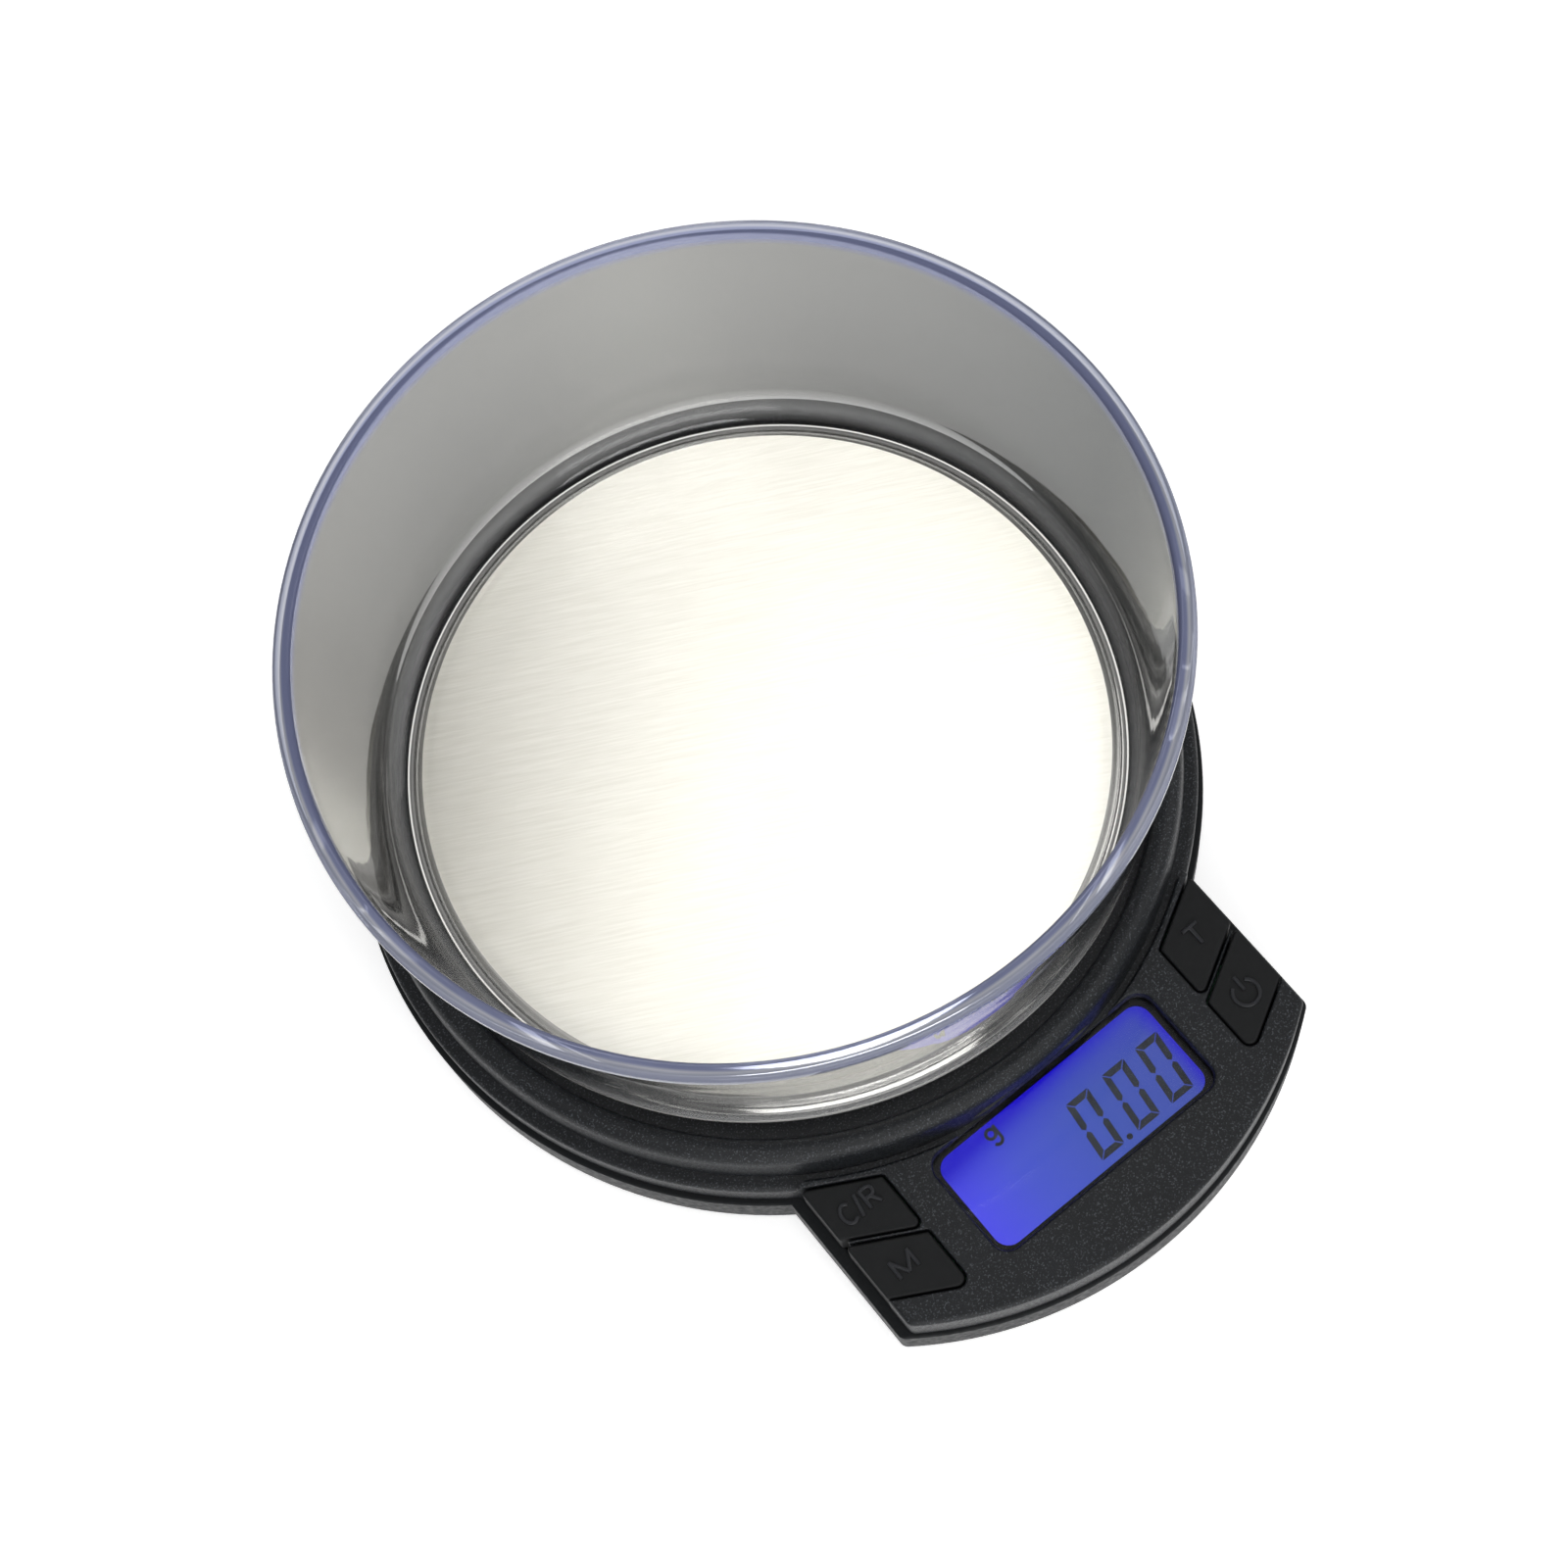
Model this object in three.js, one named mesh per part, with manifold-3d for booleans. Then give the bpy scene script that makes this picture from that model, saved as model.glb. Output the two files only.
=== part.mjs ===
// A compact gram scale: a round base with a display console in front of it, a steel
// platform on a load cell, and a loose clear bowl that stands on the platform.
// Millimetres, +Z up, with the console along -Y. Shapes are drawn about the axis of the
// round base, on the surface that the rubber feet stand on. The finished group is moved
// along Y so that its origin is in the middle of the footprint.
import * as THREE from 'three';
import { mergeVertices } from 'three/addons/utils/BufferGeometryUtils.js';
import Module from 'manifold-3d';

// ---- Driving dimensions -------------------------------------------------------------
const GAP = 0.3;                    // clearance between neighbouring pieces
const TOUCH = 0.1;                  // clearance between pieces that rest on each other
const WALL = 2.0;                   // casing wall
const ROUND_STEPS = 48;             // facets of the large round shapes
const SMALL_STEPS = 12;             // facets of screws and posts
const FRONT_STEPS = 18;             // facets of the console's front arc
const CURVE_STEPS = 3;              // steps on each small rounded corner
const FAR = 90;                     // past every side of the casing, for cutters
const HIGH = 30;                    // above the casing, for cutters

// Casing, lower shell
const FOOT_HEIGHT = 2.0;            // the shell stands this far off the table
const FLOOR_TOP = 4.0;
const PARTING = 10.0;               // top edge of the lower shell
const BASE_RADIUS = 64.2;
const BASE_HALF_WIDTH = 38.0;       // of the console
const FRONT_CENTRE_Y = -26.1;       // centre of the console's front arc
const BASE_FRONT_RADIUS = 63.2;
const BOTTOM_CHAMFER = 1.0;

// Casing, upper shell
const COVER_BOTTOM = PARTING + GAP;
const COVER_RADIUS = 63.3;
const COVER_HALF_WIDTH = 36.4;
const COVER_FRONT_RADIUS = 62.6;
const LEDGE_TOP = 15.4;
const CONSOLE_TOP = 17.0;
const GROOVE_OUTER = 62.2;          // groove between the collar and everything outside it
const COLLAR_OUTER = 61.1;
const COLLAR_INNER = 56.8;
const COLLAR_TOP = 22.6;
const COLLAR_ROUND = 2.0;           // radius of its crown
const COLLAR_CROWN_RADIUS = 58.9;   // where the crown's centre lies
const COLLAR_SIDE_TOP = 18.0;
const COLLAR_BORE = [58.2, 59.7];   // hollow inside the collar, under its crown
const CONSOLE_EDGE = 0.5;           // bevel around the console's top
const LEDGE_THICK = 1.5;
const CONSOLE_REAR_Y = -57.0;       // the console's hollow ends here, under the collar
const WELL_FLOOR_TOP = 16.9;
const WELL_FLOOR_THICK = 1.5;

// Weighing platform and bowl
const PLATFORM_RADIUS = 54.0;
const PLATFORM_TOP = 25.6;
const PLATFORM_EDGE = 3.4;          // radius of its rolled edge
const PLATFORM_SKIRT_BOTTOM = 20.0;
const SHEET = 0.6;
const SUPPORT_RADIUS = 52.8;
const SUPPORT_THICK = 2.0;
const SUPPORT_RIM = 1.6;            // width of its turned-down rim
const SUPPORT_BOTTOM = 19.0;
const PAD_THICK = 0.9;
const PAD_RADIUS = 7.0;
const PAD_CIRCLE = 36.0;
const SUPPORT_TOP = PLATFORM_TOP - SHEET - PAD_THICK - 2 * TOUCH;
const BOWL_BOTTOM = PLATFORM_TOP + TOUCH;
const BOWL_FOOT_RADIUS = 56.8;
const BOWL_FILLET = 5.3;
const BOWL_RIM_RADIUS = 61.2;
const BOWL_TOP = 72.0;
const BOWL_WALL = 2.0;
const RIM_BEAD = 2.4;               // height of the thicker band at the rim
const RIM_STEP = 0.6;               // how far the band stands out

// Load cell
const CELL_LENGTH = 47.0;
const CELL_WIDTH = 12.0;
const CELL_BOTTOM = 6.5;
const CELL_TOP = 12.5;
const CELL_HOLES = [12.5, 19.5];    // fastener distances from the middle
const CELL_BORE_RADIUS = 1.7;
const CELL_WAIST_RADIUS = 2.3;      // the two round ends of the bending window
const CELL_WAIST_X = 4.5;
const GAUGE_THICK = 0.7;
const FLEX = 0.4;                   // platform travel before the overload stop touches

// Display
const LCD_HALF_X = 20.0;            // opening in the console
const LCD_Y = [-78.1, -60.6];
const LCD_CORNER = 2.5;
const VIEW_HALF_X = 18.6;           // lit area
const VIEW_Y = [-76.9, -61.6];
const CONSOLE_PLATE = 2.0;          // thickness of the console's top
const HOLDER_X = [-21, 21];
const HOLDER_Y = [-79, -59.7];
const GLASS_THICK = 2.0;
const LIGHT_THICK = 2.4;
const BEZEL_THICK = 0.45;
const WINDOW_TOP = CONSOLE_TOP - CONSOLE_PLATE - TOUCH;
const WINDOW_THICK = 1.0;
const GLASS_TOP = WINDOW_TOP - WINDOW_THICK - TOUCH - 0.5;

// Keys: two on each side of the display, with slanted edges, open to the console's side
const KEY_INNER = 25.85;
const KEY_OUTER = 36.3;
const KEY_MIDDLE = 31.0;            // where the edge heights below are given
const KEY_SLOPE = 0.554;            // the edges rise towards the outside
const KEY_ROWS = { rear: [-64.5, -55.4], front: [-75.15, -65.6] };
const KEY_TOP = 16.8;
const KEY_BOTTOM = 11.3;
const KEY_CORNERS = { rear: 0.8, front: 1.2 };
const KEY_BEVEL = 0.2;
const KEY_TRAVEL = 0.8;
const KEY_SKIRT = [34.3, 35.6];
const KEY_SKIRT_BOTTOM = 9.0;

// Electronics and battery bay
const BOARD_BOTTOM = 5.4;
const BOARD_THICK = 1.6;
const BOARD_TOP = BOARD_BOTTOM + BOARD_THICK;
const BOARD_POSTS = [[-30, -56], [30, -56], [-24, -76.2], [24, -76.2]];
const CONNECTOR_Y = [-58.4, -55.2];
const CONNECTOR_TOP = 10.6;
const SWITCH_X = 29.2;
const SWITCH_HALF = 3.0;
const BATTERY_RADIUS = 5.25;
const BATTERY_LENGTH = 44.5;
const BATTERY_Y = [26.4, 37.6];
const BATTERY_Z = 9.2;
const BAY_HALF_X = 25.4;
const BAY_Y = [20.8, 43.4];
const BAY_TOP = 14.8;
const BAY_WALL = 1.5;
const DOOR_HALF_X = 24.9;
const DOOR_FRONT = 18.8;
const DOOR_THICK = 1.4;
const GRIP_PITCH = 2.2;
const GRIP_DEPTH = 0.5;
const CONTACT_THICK = 0.4;
const SPRING = { turns: 4, wide: 3.2, narrow: 2.0, height: 2.2, wire: 0.3 };
const CABLE_RADIUS = 0.9;
const LEAD_RADIUS = 0.6;

// Fasteners and feet, seen from above
const CASE_SCREWS = [[45, 37.7], [-45, 37.7], [55, -20], [-55, -20], [23.6, -80.6], [-23.6, -80.6]];
const FEET = [[36, 40], [-36, 40], [29, -72], [-29, -72]];
const POST_RADIUS = 2.3;
const WELL_RADIUS = 2.1;
const SCREW_HEAD_Z = 6.0;           // where the case screws' heads bear, inside their wells
const FOOT_RADIUS = 5.0;
const FOOT_RECESS = 0.6;
const CASE_SCREW = { head: 1.9, headHeight: 1.6, shank: 0.95, length: 7.5 };
const CELL_SCREW = { head: 2.7, headHeight: 1.1, shank: 1.4, length: 7.8 };
const STOP_SCREW = { head: 2.7, headHeight: 1.1, shank: 1.4, length: 2.7 };
const PLATFORM_SCREW = { head: 2.7, headHeight: 2.0, shank: 1.3, length: 13 };
const CROSS_WIDTH = 0.5;            // width of the screws' cross recess
const CELL_SCREW_Z = 2.2;           // where the load cell's screw heads start
const FOOT_STEPS = 28;

// ---- Materials ----------------------------------------------------------------------
const plastic = { color: 0x17181b, roughness: 0.62, metalness: 0 };
const rubber = { color: 0x131416, roughness: 0.85, metalness: 0 };
const steel = { color: 0xcfcabd, roughness: 0.32, metalness: 1 };
const zinc = { color: 0xb9bcc0, roughness: 0.35, metalness: 1 };
const aluminium = { color: 0xc9ccd0, roughness: 0.4, metalness: 1 };
const clear = { color: 0xe8ebf2, roughness: 0.05, metalness: 0, transparent: true, opacity: 0.35 };
const blue = { color: 0x4a5be0, roughness: 0.4, metalness: 0 };
const green = { color: 0x1f5b36, roughness: 0.5, metalness: 0 };
const white = { color: 0xe6e4dc, roughness: 0.6, metalness: 0 };
const foam = { color: 0x3a3c40, roughness: 0.95, metalness: 0 };
const cell = { color: 0x2b5fa8, roughness: 0.35, metalness: 0.3 };
const red = { color: 0xb02020, roughness: 0.5, metalness: 0 };

// ---- Solids -------------------------------------------------------------------------
const wasm = await Module();
wasm.setup();

function solid(geometry) {
  const bare = geometry.clone();
  bare.deleteAttribute('normal');
  bare.deleteAttribute('uv');
  const merged = mergeVertices(bare, 1e-4);
  const vertProperties = new Float32Array(merged.attributes.position.array);
  const triVerts = new Uint32Array(merged.index.array);
  return new wasm.Manifold(new wasm.Mesh({ numProp: 3, vertProperties, triVerts }));
}

function geometryOf(body) {
  const mesh = body.getMesh();
  const geometry = new THREE.BufferGeometry();
  geometry.setAttribute('position', new THREE.BufferAttribute(mesh.vertProperties, 3));
  geometry.setIndex(new THREE.BufferAttribute(mesh.triVerts, 1));
  geometry.computeVertexNormals();
  return geometry;
}

function joined(first, ...others) {
  return others.reduce((body, other) => body.add(other), first);
}

function cut(first, ...others) {
  return others.reduce((body, other) => body.subtract(other), first);
}

function prism(shape, bottom, top, bevel = 0) {
  const options = { depth: top - bottom - 2 * bevel, curveSegments: CURVE_STEPS, bevelEnabled: bevel > 0,
    bevelSize: bevel, bevelThickness: bevel, bevelOffset: -bevel, bevelSegments: 1 };
  return solid(new THREE.ExtrudeGeometry(shape, options).translate(0, 0, bottom + bevel));
}

function box(x, y, z) {
  const size = [x, y, z].map(([low, high]) => high - low);
  const middle = [x, y, z].map(([low, high]) => (low + high) / 2);
  return solid(new THREE.BoxGeometry(...size).translate(...middle));
}

function cylinder(radius, [x, y], bottom, top, steps = SMALL_STEPS) {
  const geometry = new THREE.CylinderGeometry(radius, radius, top - bottom, steps);
  return solid(geometry.rotateX(Math.PI / 2).translate(x, y, (bottom + top) / 2));
}

function cylinderAlongY(radius, x, z, y, steps = SMALL_STEPS) {
  const geometry = new THREE.CylinderGeometry(radius, radius, y[1] - y[0], steps);
  return solid(geometry.translate(x, (y[0] + y[1]) / 2, z));
}

// A profile of [radius, height] points, anticlockwise, turned about the Z axis.
function turned(profile, steps = ROUND_STEPS) {
  const points = profile.map(([r, z]) => new THREE.Vector2(r, z));
  const onAxis = profile[0][0] === 0 && profile.at(-1)[0] === 0;
  if (!onAxis) points.push(points[0].clone());
  return solid(new THREE.LatheGeometry(points, steps).rotateX(Math.PI / 2));
}

function arcPoints(centre, radius, from, to, steps) {
  return Array.from({ length: steps + 1 }, (_, i) => {
    const angle = THREE.MathUtils.degToRad(from + (to - from) * i / steps);
    return [centre[0] + radius * Math.cos(angle), centre[1] + radius * Math.sin(angle)];
  });
}

function polygon(points) {
  return new THREE.Shape(points.map(([x, y]) => new THREE.Vector2(x, y)));
}

function roundedRect([x0, x1], [y0, y1], radius) {
  const shape = new THREE.Shape();
  shape.absarc(x1 - radius, y0 + radius, radius, -Math.PI / 2, 0);
  shape.absarc(x1 - radius, y1 - radius, radius, 0, Math.PI / 2);
  shape.absarc(x0 + radius, y1 - radius, radius, Math.PI / 2, Math.PI);
  shape.absarc(x0 + radius, y0 + radius, radius, Math.PI, Math.PI * 1.5);
  return shape;
}

function tube(points, radius, sides, steps) {
  const path = new THREE.CatmullRomCurve3(points.map((p) => new THREE.Vector3(...p)));
  const section = new THREE.Shape();
  section.absarc(0, 0, radius, 0, 2 * Math.PI);
  const options = { steps, curveSegments: sides / 2, extrudePath: path, bevelEnabled: false };
  return solid(new THREE.ExtrudeGeometry(section, options));
}

// ---- The scene graph ----------------------------------------------------------------
const FRONT_Y = FRONT_CENTRE_Y - BASE_FRONT_RADIUS;
const scale = new THREE.Group();
scale.position.y = -(BASE_RADIUS + FRONT_Y) / 2;

function place(name, body, look) {
  const mesh = new THREE.Mesh(geometryOf(body), new THREE.MeshStandardMaterial(look));
  mesh.name = name;
  scale.add(mesh);
}

// ---- Casing outlines ----------------------------------------------------------------
// The round base with its console: a circle, two straight sides and a front arc, with a
// small rounded corner where each side meets the arc.
function caseOutline(radius, halfWidth, frontRadius, corner = 1.4) {
  const degrees = THREE.MathUtils.radToDeg;
  const side = degrees(Math.acos(halfWidth / radius));
  const front = degrees(Math.acos(halfWidth / frontRadius) + corner / frontRadius);
  const cornerY = FRONT_CENTRE_Y - Math.sqrt(frontRadius ** 2 - halfWidth ** 2);
  const round = arcPoints([0, 0], radius, -side, 180 + side, ROUND_STEPS - 6);
  const arc = arcPoints([0, FRONT_CENTRE_Y], frontRadius, 180 + front, 360 - front, FRONT_STEPS);
  const cornerPoints = (sign, end) => [[sign * halfWidth, cornerY + corner],
    [sign * (halfWidth - corner * 0.25), (cornerY + end[1]) / 2 + corner * 0.2]];
  const left = cornerPoints(-1, arc[0]);
  const right = cornerPoints(1, arc.at(-1)).reverse();
  return polygon([...round, ...left, ...arc, ...right]);
}

function baseOutline(inset) {
  return caseOutline(BASE_RADIUS - inset, BASE_HALF_WIDTH - inset, BASE_FRONT_RADIUS - inset);
}

function coverOutline(inset) {
  return caseOutline(COVER_RADIUS - inset, COVER_HALF_WIDTH - inset,
    COVER_FRONT_RADIUS - inset);
}

// ---- Keys ---------------------------------------------------------------------------
function keyOutline(side, row, grow) {
  const [low, high] = KEY_ROWS[row];
  const edge = (y, x) => y + KEY_SLOPE * (x - KEY_MIDDLE);
  const inner = KEY_INNER - grow;
  const outer = grow > 0 ? BASE_HALF_WIDTH + 2 : KEY_OUTER;
  const shape = new THREE.Shape();
  shape.moveTo(side * outer, edge(low - grow, outer));
  shape.lineTo(side * outer, edge(high + grow, outer));
  shape.lineTo(side * inner, edge(high + grow, inner));
  const turn = KEY_CORNERS[row];
  shape.lineTo(side * inner, edge(low - grow, inner) + turn);
  shape.quadraticCurveTo(side * inner, edge(low - grow, inner),
    side * (inner + turn), edge(low - grow, inner + turn));
  return shape;
}

// A skirt inside the casing wall closes the slot under the key's open side.
function key(side, row) {
  const [low, high] = KEY_ROWS[row].map((y) => y + KEY_SLOPE * (KEY_SKIRT[0] - KEY_MIDDLE));
  const x = KEY_SKIRT.map((value) => side * value).sort((a, b) => a - b);
  const skirt = box(x, [low + 2.5 * GAP, high - GAP], [KEY_SKIRT_BOTTOM, KEY_BOTTOM + 1]);
  return joined(prism(keyOutline(side, row, 0), KEY_BOTTOM, KEY_TOP, KEY_BEVEL), skirt);
}

// ---- Lower shell --------------------------------------------------------------------
function lowerShell() {
  const above = box([-FAR, FAR], [-2 * FAR, FAR], [PARTING, HIGH]);
  const outer = prism(baseOutline(0), FOOT_HEIGHT, PARTING + 5, BOTTOM_CHAMFER);
  const bottom = FLOOR_TOP - 1;
  const pedestal = box([-25, -10], [-7.5, 7.5], [bottom, CELL_BOTTOM - TOUCH]);
  const stopBoss = cylinder(4, [CELL_HOLES[1], 0], bottom, BOARD_BOTTOM);
  const posts = CASE_SCREWS.map((at) =>
    cylinder(POST_RADIUS + 0.6, at, bottom, COVER_BOTTOM - 2 * GAP - TOUCH));
  const standoffs = BOARD_POSTS.map((at) => cylinder(1.8, at, bottom, BOARD_BOTTOM - TOUCH));
  const shell = cut(outer, above, prism(baseOutline(WALL), FLOOR_TOP, PARTING + 6));
  const fitted = joined(shell, pedestal, stopBoss, ...posts, ...standoffs, batteryBay());
  return cut(fitted.intersect(joined(outer, bayEnvelope())), doorway(), ...shellHoles());
}

// The bay rises above the parting line, so it is kept when the rest is trimmed.
function bayEnvelope() {
  return box([-30, 30], [DOOR_FRONT, BAY_Y[1] + BAY_WALL], [FLOOR_TOP, BAY_TOP]);
}

function batteryBay() {
  const outer = box([-BAY_HALF_X - BAY_WALL, BAY_HALF_X + BAY_WALL],
    [BAY_Y[0] - BAY_WALL, BAY_Y[1] + BAY_WALL], [FLOOR_TOP - 1, BAY_TOP]);
  const inner = box([-BAY_HALF_X, BAY_HALF_X], BAY_Y, [0, BAY_TOP + 1]);
  return cut(outer, inner);
}

function doorway() {
  const x = [-DOOR_HALF_X - GAP, DOOR_HALF_X + GAP];
  const gap = box(x, [DOOR_FRONT - GAP, FAR], [0, FLOOR_TOP + TOUCH]);
  const rear = box(x, [BAY_Y[1] + BAY_WALL + 4, FAR], [0, PARTING + 1]);
  return joined(gap, rear);
}

function shellHoles() {
  const wells = CASE_SCREWS.flatMap((at) => [
    cylinder(WELL_RADIUS, at, 0, SCREW_HEAD_Z), cylinder(POST_RADIUS - 1, at, 0, HIGH)]);
  const cellScrews = [-CELL_HOLES[0], -CELL_HOLES[1], CELL_HOLES[1]].flatMap((x) => [
    cylinder(CELL_SCREW.head + 0.4, [x, 0], 0, CELL_SCREW_Z + CELL_SCREW.headHeight + TOUCH),
    cylinder(CELL_BORE_RADIUS, [x, 0], 0, HIGH)]);
  const recesses = FEET.map((at) =>
    cylinder(FOOT_RADIUS + GAP, at, 0, FOOT_HEIGHT + FOOT_RECESS, FOOT_STEPS));
  return [...wells, ...cellScrews, ...recesses];
}

// ---- Upper shell --------------------------------------------------------------------
function collarProfile() {
  const centre = [COLLAR_CROWN_RADIUS, COLLAR_TOP - COLLAR_ROUND];
  const crown = arcPoints(centre, COLLAR_ROUND, 10, 150, 5);
  return [[0, COVER_BOTTOM], [COLLAR_OUTER, COVER_BOTTOM], [COLLAR_OUTER, COLLAR_SIDE_TOP],
    ...crown, [COLLAR_INNER, centre[1] + 0.2], [COLLAR_INNER, WELL_FLOOR_TOP],
    [0, WELL_FLOOR_TOP]];
}

function upperShell() {
  const ledge = prism(coverOutline(0), COVER_BOTTOM, LEDGE_TOP);
  const consoleBlock = cut(prism(coverOutline(0), LEDGE_TOP - 1, CONSOLE_TOP, CONSOLE_EDGE),
    cylinder(GROOVE_OUTER, [0, 0], 0, HIGH, ROUND_STEPS),
    box([-FAR, FAR], [-sideJoinY(), FAR], [0, HIGH]));
  const outer = joined(ledge, consoleBlock, turned(collarProfile()));
  const posts = CASE_SCREWS.map((at) => cylinder(POST_RADIUS, at, COVER_BOTTOM, LEDGE_TOP));
  const hollow = cut(outer, ...coverCavities());
  const holes = CASE_SCREWS.map((at) => cylinder(POST_RADIUS - 1.1, at, 0, LEDGE_TOP - 1.2));
  return cut(joined(hollow, ...posts), ...holes, ...coverOpenings());
}

// Where the console's straight sides meet the round base.
function sideJoinY() {
  return Math.sqrt(COVER_RADIUS ** 2 - COVER_HALF_WIDTH ** 2);
}

function coverCavities() {
  const plate = CONSOLE_TOP - CONSOLE_PLATE;
  const underLedge = prism(coverOutline(WALL), 0, LEDGE_TOP - LEDGE_THICK);
  const underConsole = cut(prism(coverOutline(WALL), 0, plate),
    cylinder(COLLAR_OUTER, [0, 0], -1, HIGH, ROUND_STEPS),
    box([-FAR, FAR], [CONSOLE_REAR_Y + 1, FAR], [-1, HIGH]));
  const [boreInner, boreOuter] = COLLAR_BORE;
  const underWell = cylinder(boreOuter, [0, 0], 0, WELL_FLOOR_TOP - WELL_FLOOR_THICK, ROUND_STEPS);
  const underCrown = cut(cylinder(boreOuter, [0, 0], 0, COLLAR_TOP - COLLAR_ROUND, ROUND_STEPS),
    cylinder(boreInner, [0, 0], -1, HIGH, ROUND_STEPS));
  const displayBay = box([HOLDER_X[0] - 1, HOLDER_X[1] + 1], [-64, CONSOLE_REAR_Y], [0, plate]);
  return [underLedge, underConsole, underWell, underCrown, displayBay];
}

function coverOpenings() {
  const cellSlot = prism(roundedRect([-28, 28], [-10.5, 10.5], 3), 10, WELL_FLOOR_TOP + 1);
  const display = prism(roundedRect([-LCD_HALF_X, LCD_HALF_X], LCD_Y, LCD_CORNER), 11, HIGH);
  const keys = [-1, 1].flatMap((side) => ['rear', 'front'].map((row) =>
    prism(keyOutline(side, row, GAP), 0, HIGH)));
  const ribEnds = [-1, 1].map((side) => {
    const x = [side * (KEY_OUTER - 0.8), side * FAR].sort((a, b) => a - b);
    return box(x, [-68, -60], [0, HIGH]);
  });
  return [cellSlot, display, ...keys, ...ribEnds];
}

// ---- Battery door and batteries -----------------------------------------------------
function batteryDoor() {
  const within = box([-DOOR_HALF_X, DOOR_HALF_X], [DOOR_FRONT, FAR],
    [FOOT_HEIGHT, PARTING - GAP]);
  const outer = prism(baseOutline(0), FOOT_HEIGHT, PARTING + 5, BOTTOM_CHAMFER);
  const inside = prism(baseOutline(WALL), FOOT_HEIGHT + DOOR_THICK, PARTING + 6);
  const grips = [48, 48 + GRIP_PITCH, 48 + 2 * GRIP_PITCH].map((y) =>
    box([-8, 8], [y, y + GRIP_PITCH / 2], [0, FOOT_HEIGHT + GRIP_DEPTH]));
  return cut(outer.intersect(within), inside, ...grips);
}

// towards = 1 points the battery's nub along +X.
function battery(y, towards) {
  const half = BATTERY_LENGTH / 2;
  const nub = { radius: 1.9, height: 1 };
  const profile = [[0, -half], [BATTERY_RADIUS, -half], [BATTERY_RADIUS, half - nub.height],
    [nub.radius, half - nub.height], [nub.radius, half], [0, half]];
  const geometry = new THREE.LatheGeometry(
    profile.map(([r, z]) => new THREE.Vector2(r, z)), 2 * SMALL_STEPS);
  geometry.rotateZ(-towards * Math.PI / 2);
  return solid(geometry.translate(0, y, BATTERY_Z));
}

function contactPlate(side, y) {
  const x = [BAY_HALF_X - TOUCH, BAY_HALF_X - TOUCH - CONTACT_THICK].map((value) => side * value);
  return box(x.sort((p, q) => p - q), [y - 4.5, y + 4.5], [BATTERY_Z - 4, BATTERY_Z + 4.5]);
}

function springContact(side, y) {
  const start = BAY_HALF_X - TOUCH - CONTACT_THICK / 2;
  const { turns, wide, narrow, height, wire } = SPRING;
  const coil = Array.from({ length: 8 * turns + 1 }, (_, i) => {
    const along = i / (8 * turns);
    const angle = along * turns * 2 * Math.PI;
    const radius = wide + (narrow - wide) * along;
    return [side * (start - height * along), y + radius * Math.cos(angle),
      BATTERY_Z + radius * Math.sin(angle)];
  });
  return joined(contactPlate(side, y), tube(coil, wire, 6, 8 * turns));
}

function plateContact(side, y) {
  const height = 1.6;
  const middle = BAY_HALF_X - TOUCH - CONTACT_THICK / 2 - height / 2;
  const dimple = new THREE.CylinderGeometry(1.2, 2.4, height, 16).rotateZ(side * Math.PI / 2);
  return joined(contactPlate(side, y), solid(dimple.translate(side * middle, y, BATTERY_Z)));
}

// ---- Load cell, platform and bowl ---------------------------------------------------
function loadCell() {
  const half = CELL_LENGTH / 2;
  const middle = (CELL_BOTTOM + CELL_TOP) / 2;
  const across = [-CELL_WIDTH / 2 - 1, CELL_WIDTH / 2 + 1];
  const beam = box([-half, half], [-CELL_WIDTH / 2, CELL_WIDTH / 2], [CELL_BOTTOM, CELL_TOP]);
  const waists = [-CELL_WAIST_X, CELL_WAIST_X].map((x) =>
    cylinderAlongY(CELL_WAIST_RADIUS, x, middle, across));
  const slit = box([-CELL_WAIST_X, CELL_WAIST_X], across, [middle - 0.7, middle + 0.7]);
  const bores = CELL_HOLES.flatMap((x) => [-x, x]).map((x) =>
    cylinder(CELL_BORE_RADIUS, [x, 0], 0, HIGH, 16));
  return cut(beam, ...waists, slit, ...bores);
}

// A plate with a turned-down rim and ribs below it. Its boss hangs over the free end of
// the load cell, clear of it by the travel.
function platformSupport() {
  const plateBottom = SUPPORT_TOP - SUPPORT_THICK;
  const rimInside = SUPPORT_RADIUS - SUPPORT_RIM;
  const plate = turned([[0, plateBottom], [rimInside, plateBottom], [rimInside, SUPPORT_BOTTOM],
    [SUPPORT_RADIUS, SUPPORT_BOTTOM], [SUPPORT_RADIUS, plateBottom - 0.4],
    [SUPPORT_RADIUS - 1.2, SUPPORT_TOP], [0, SUPPORT_TOP]]);
  const boss = box([9.5, 23], [-CELL_WIDTH / 2, CELL_WIDTH / 2],
    [CELL_TOP + FLEX + 2 * TOUCH, SUPPORT_TOP - 0.5]);
  const ribBottom = WELL_FLOOR_TOP + WELL_FLOOR_THICK;
  const slot = box([-27, 27], [-9.5, 9.5], [0, ribBottom]);
  const ribs = [0, 45, 90, 135].map((angle) => rib(angle, ribBottom, plateBottom + 0.5));
  const body = joined(plate, boss, ...ribs.map((bar) => cut(bar, slot)));
  const holes = CELL_HOLES.flatMap((x) => [cylinder(CELL_BORE_RADIUS, [x, 0], 0, HIGH, 16),
    cylinder(PLATFORM_SCREW.head + 0.5, [x, 0],
      SUPPORT_TOP - PLATFORM_SCREW.headHeight - 0.4, HIGH)]);
  return cut(body, ...holes);
}

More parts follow.
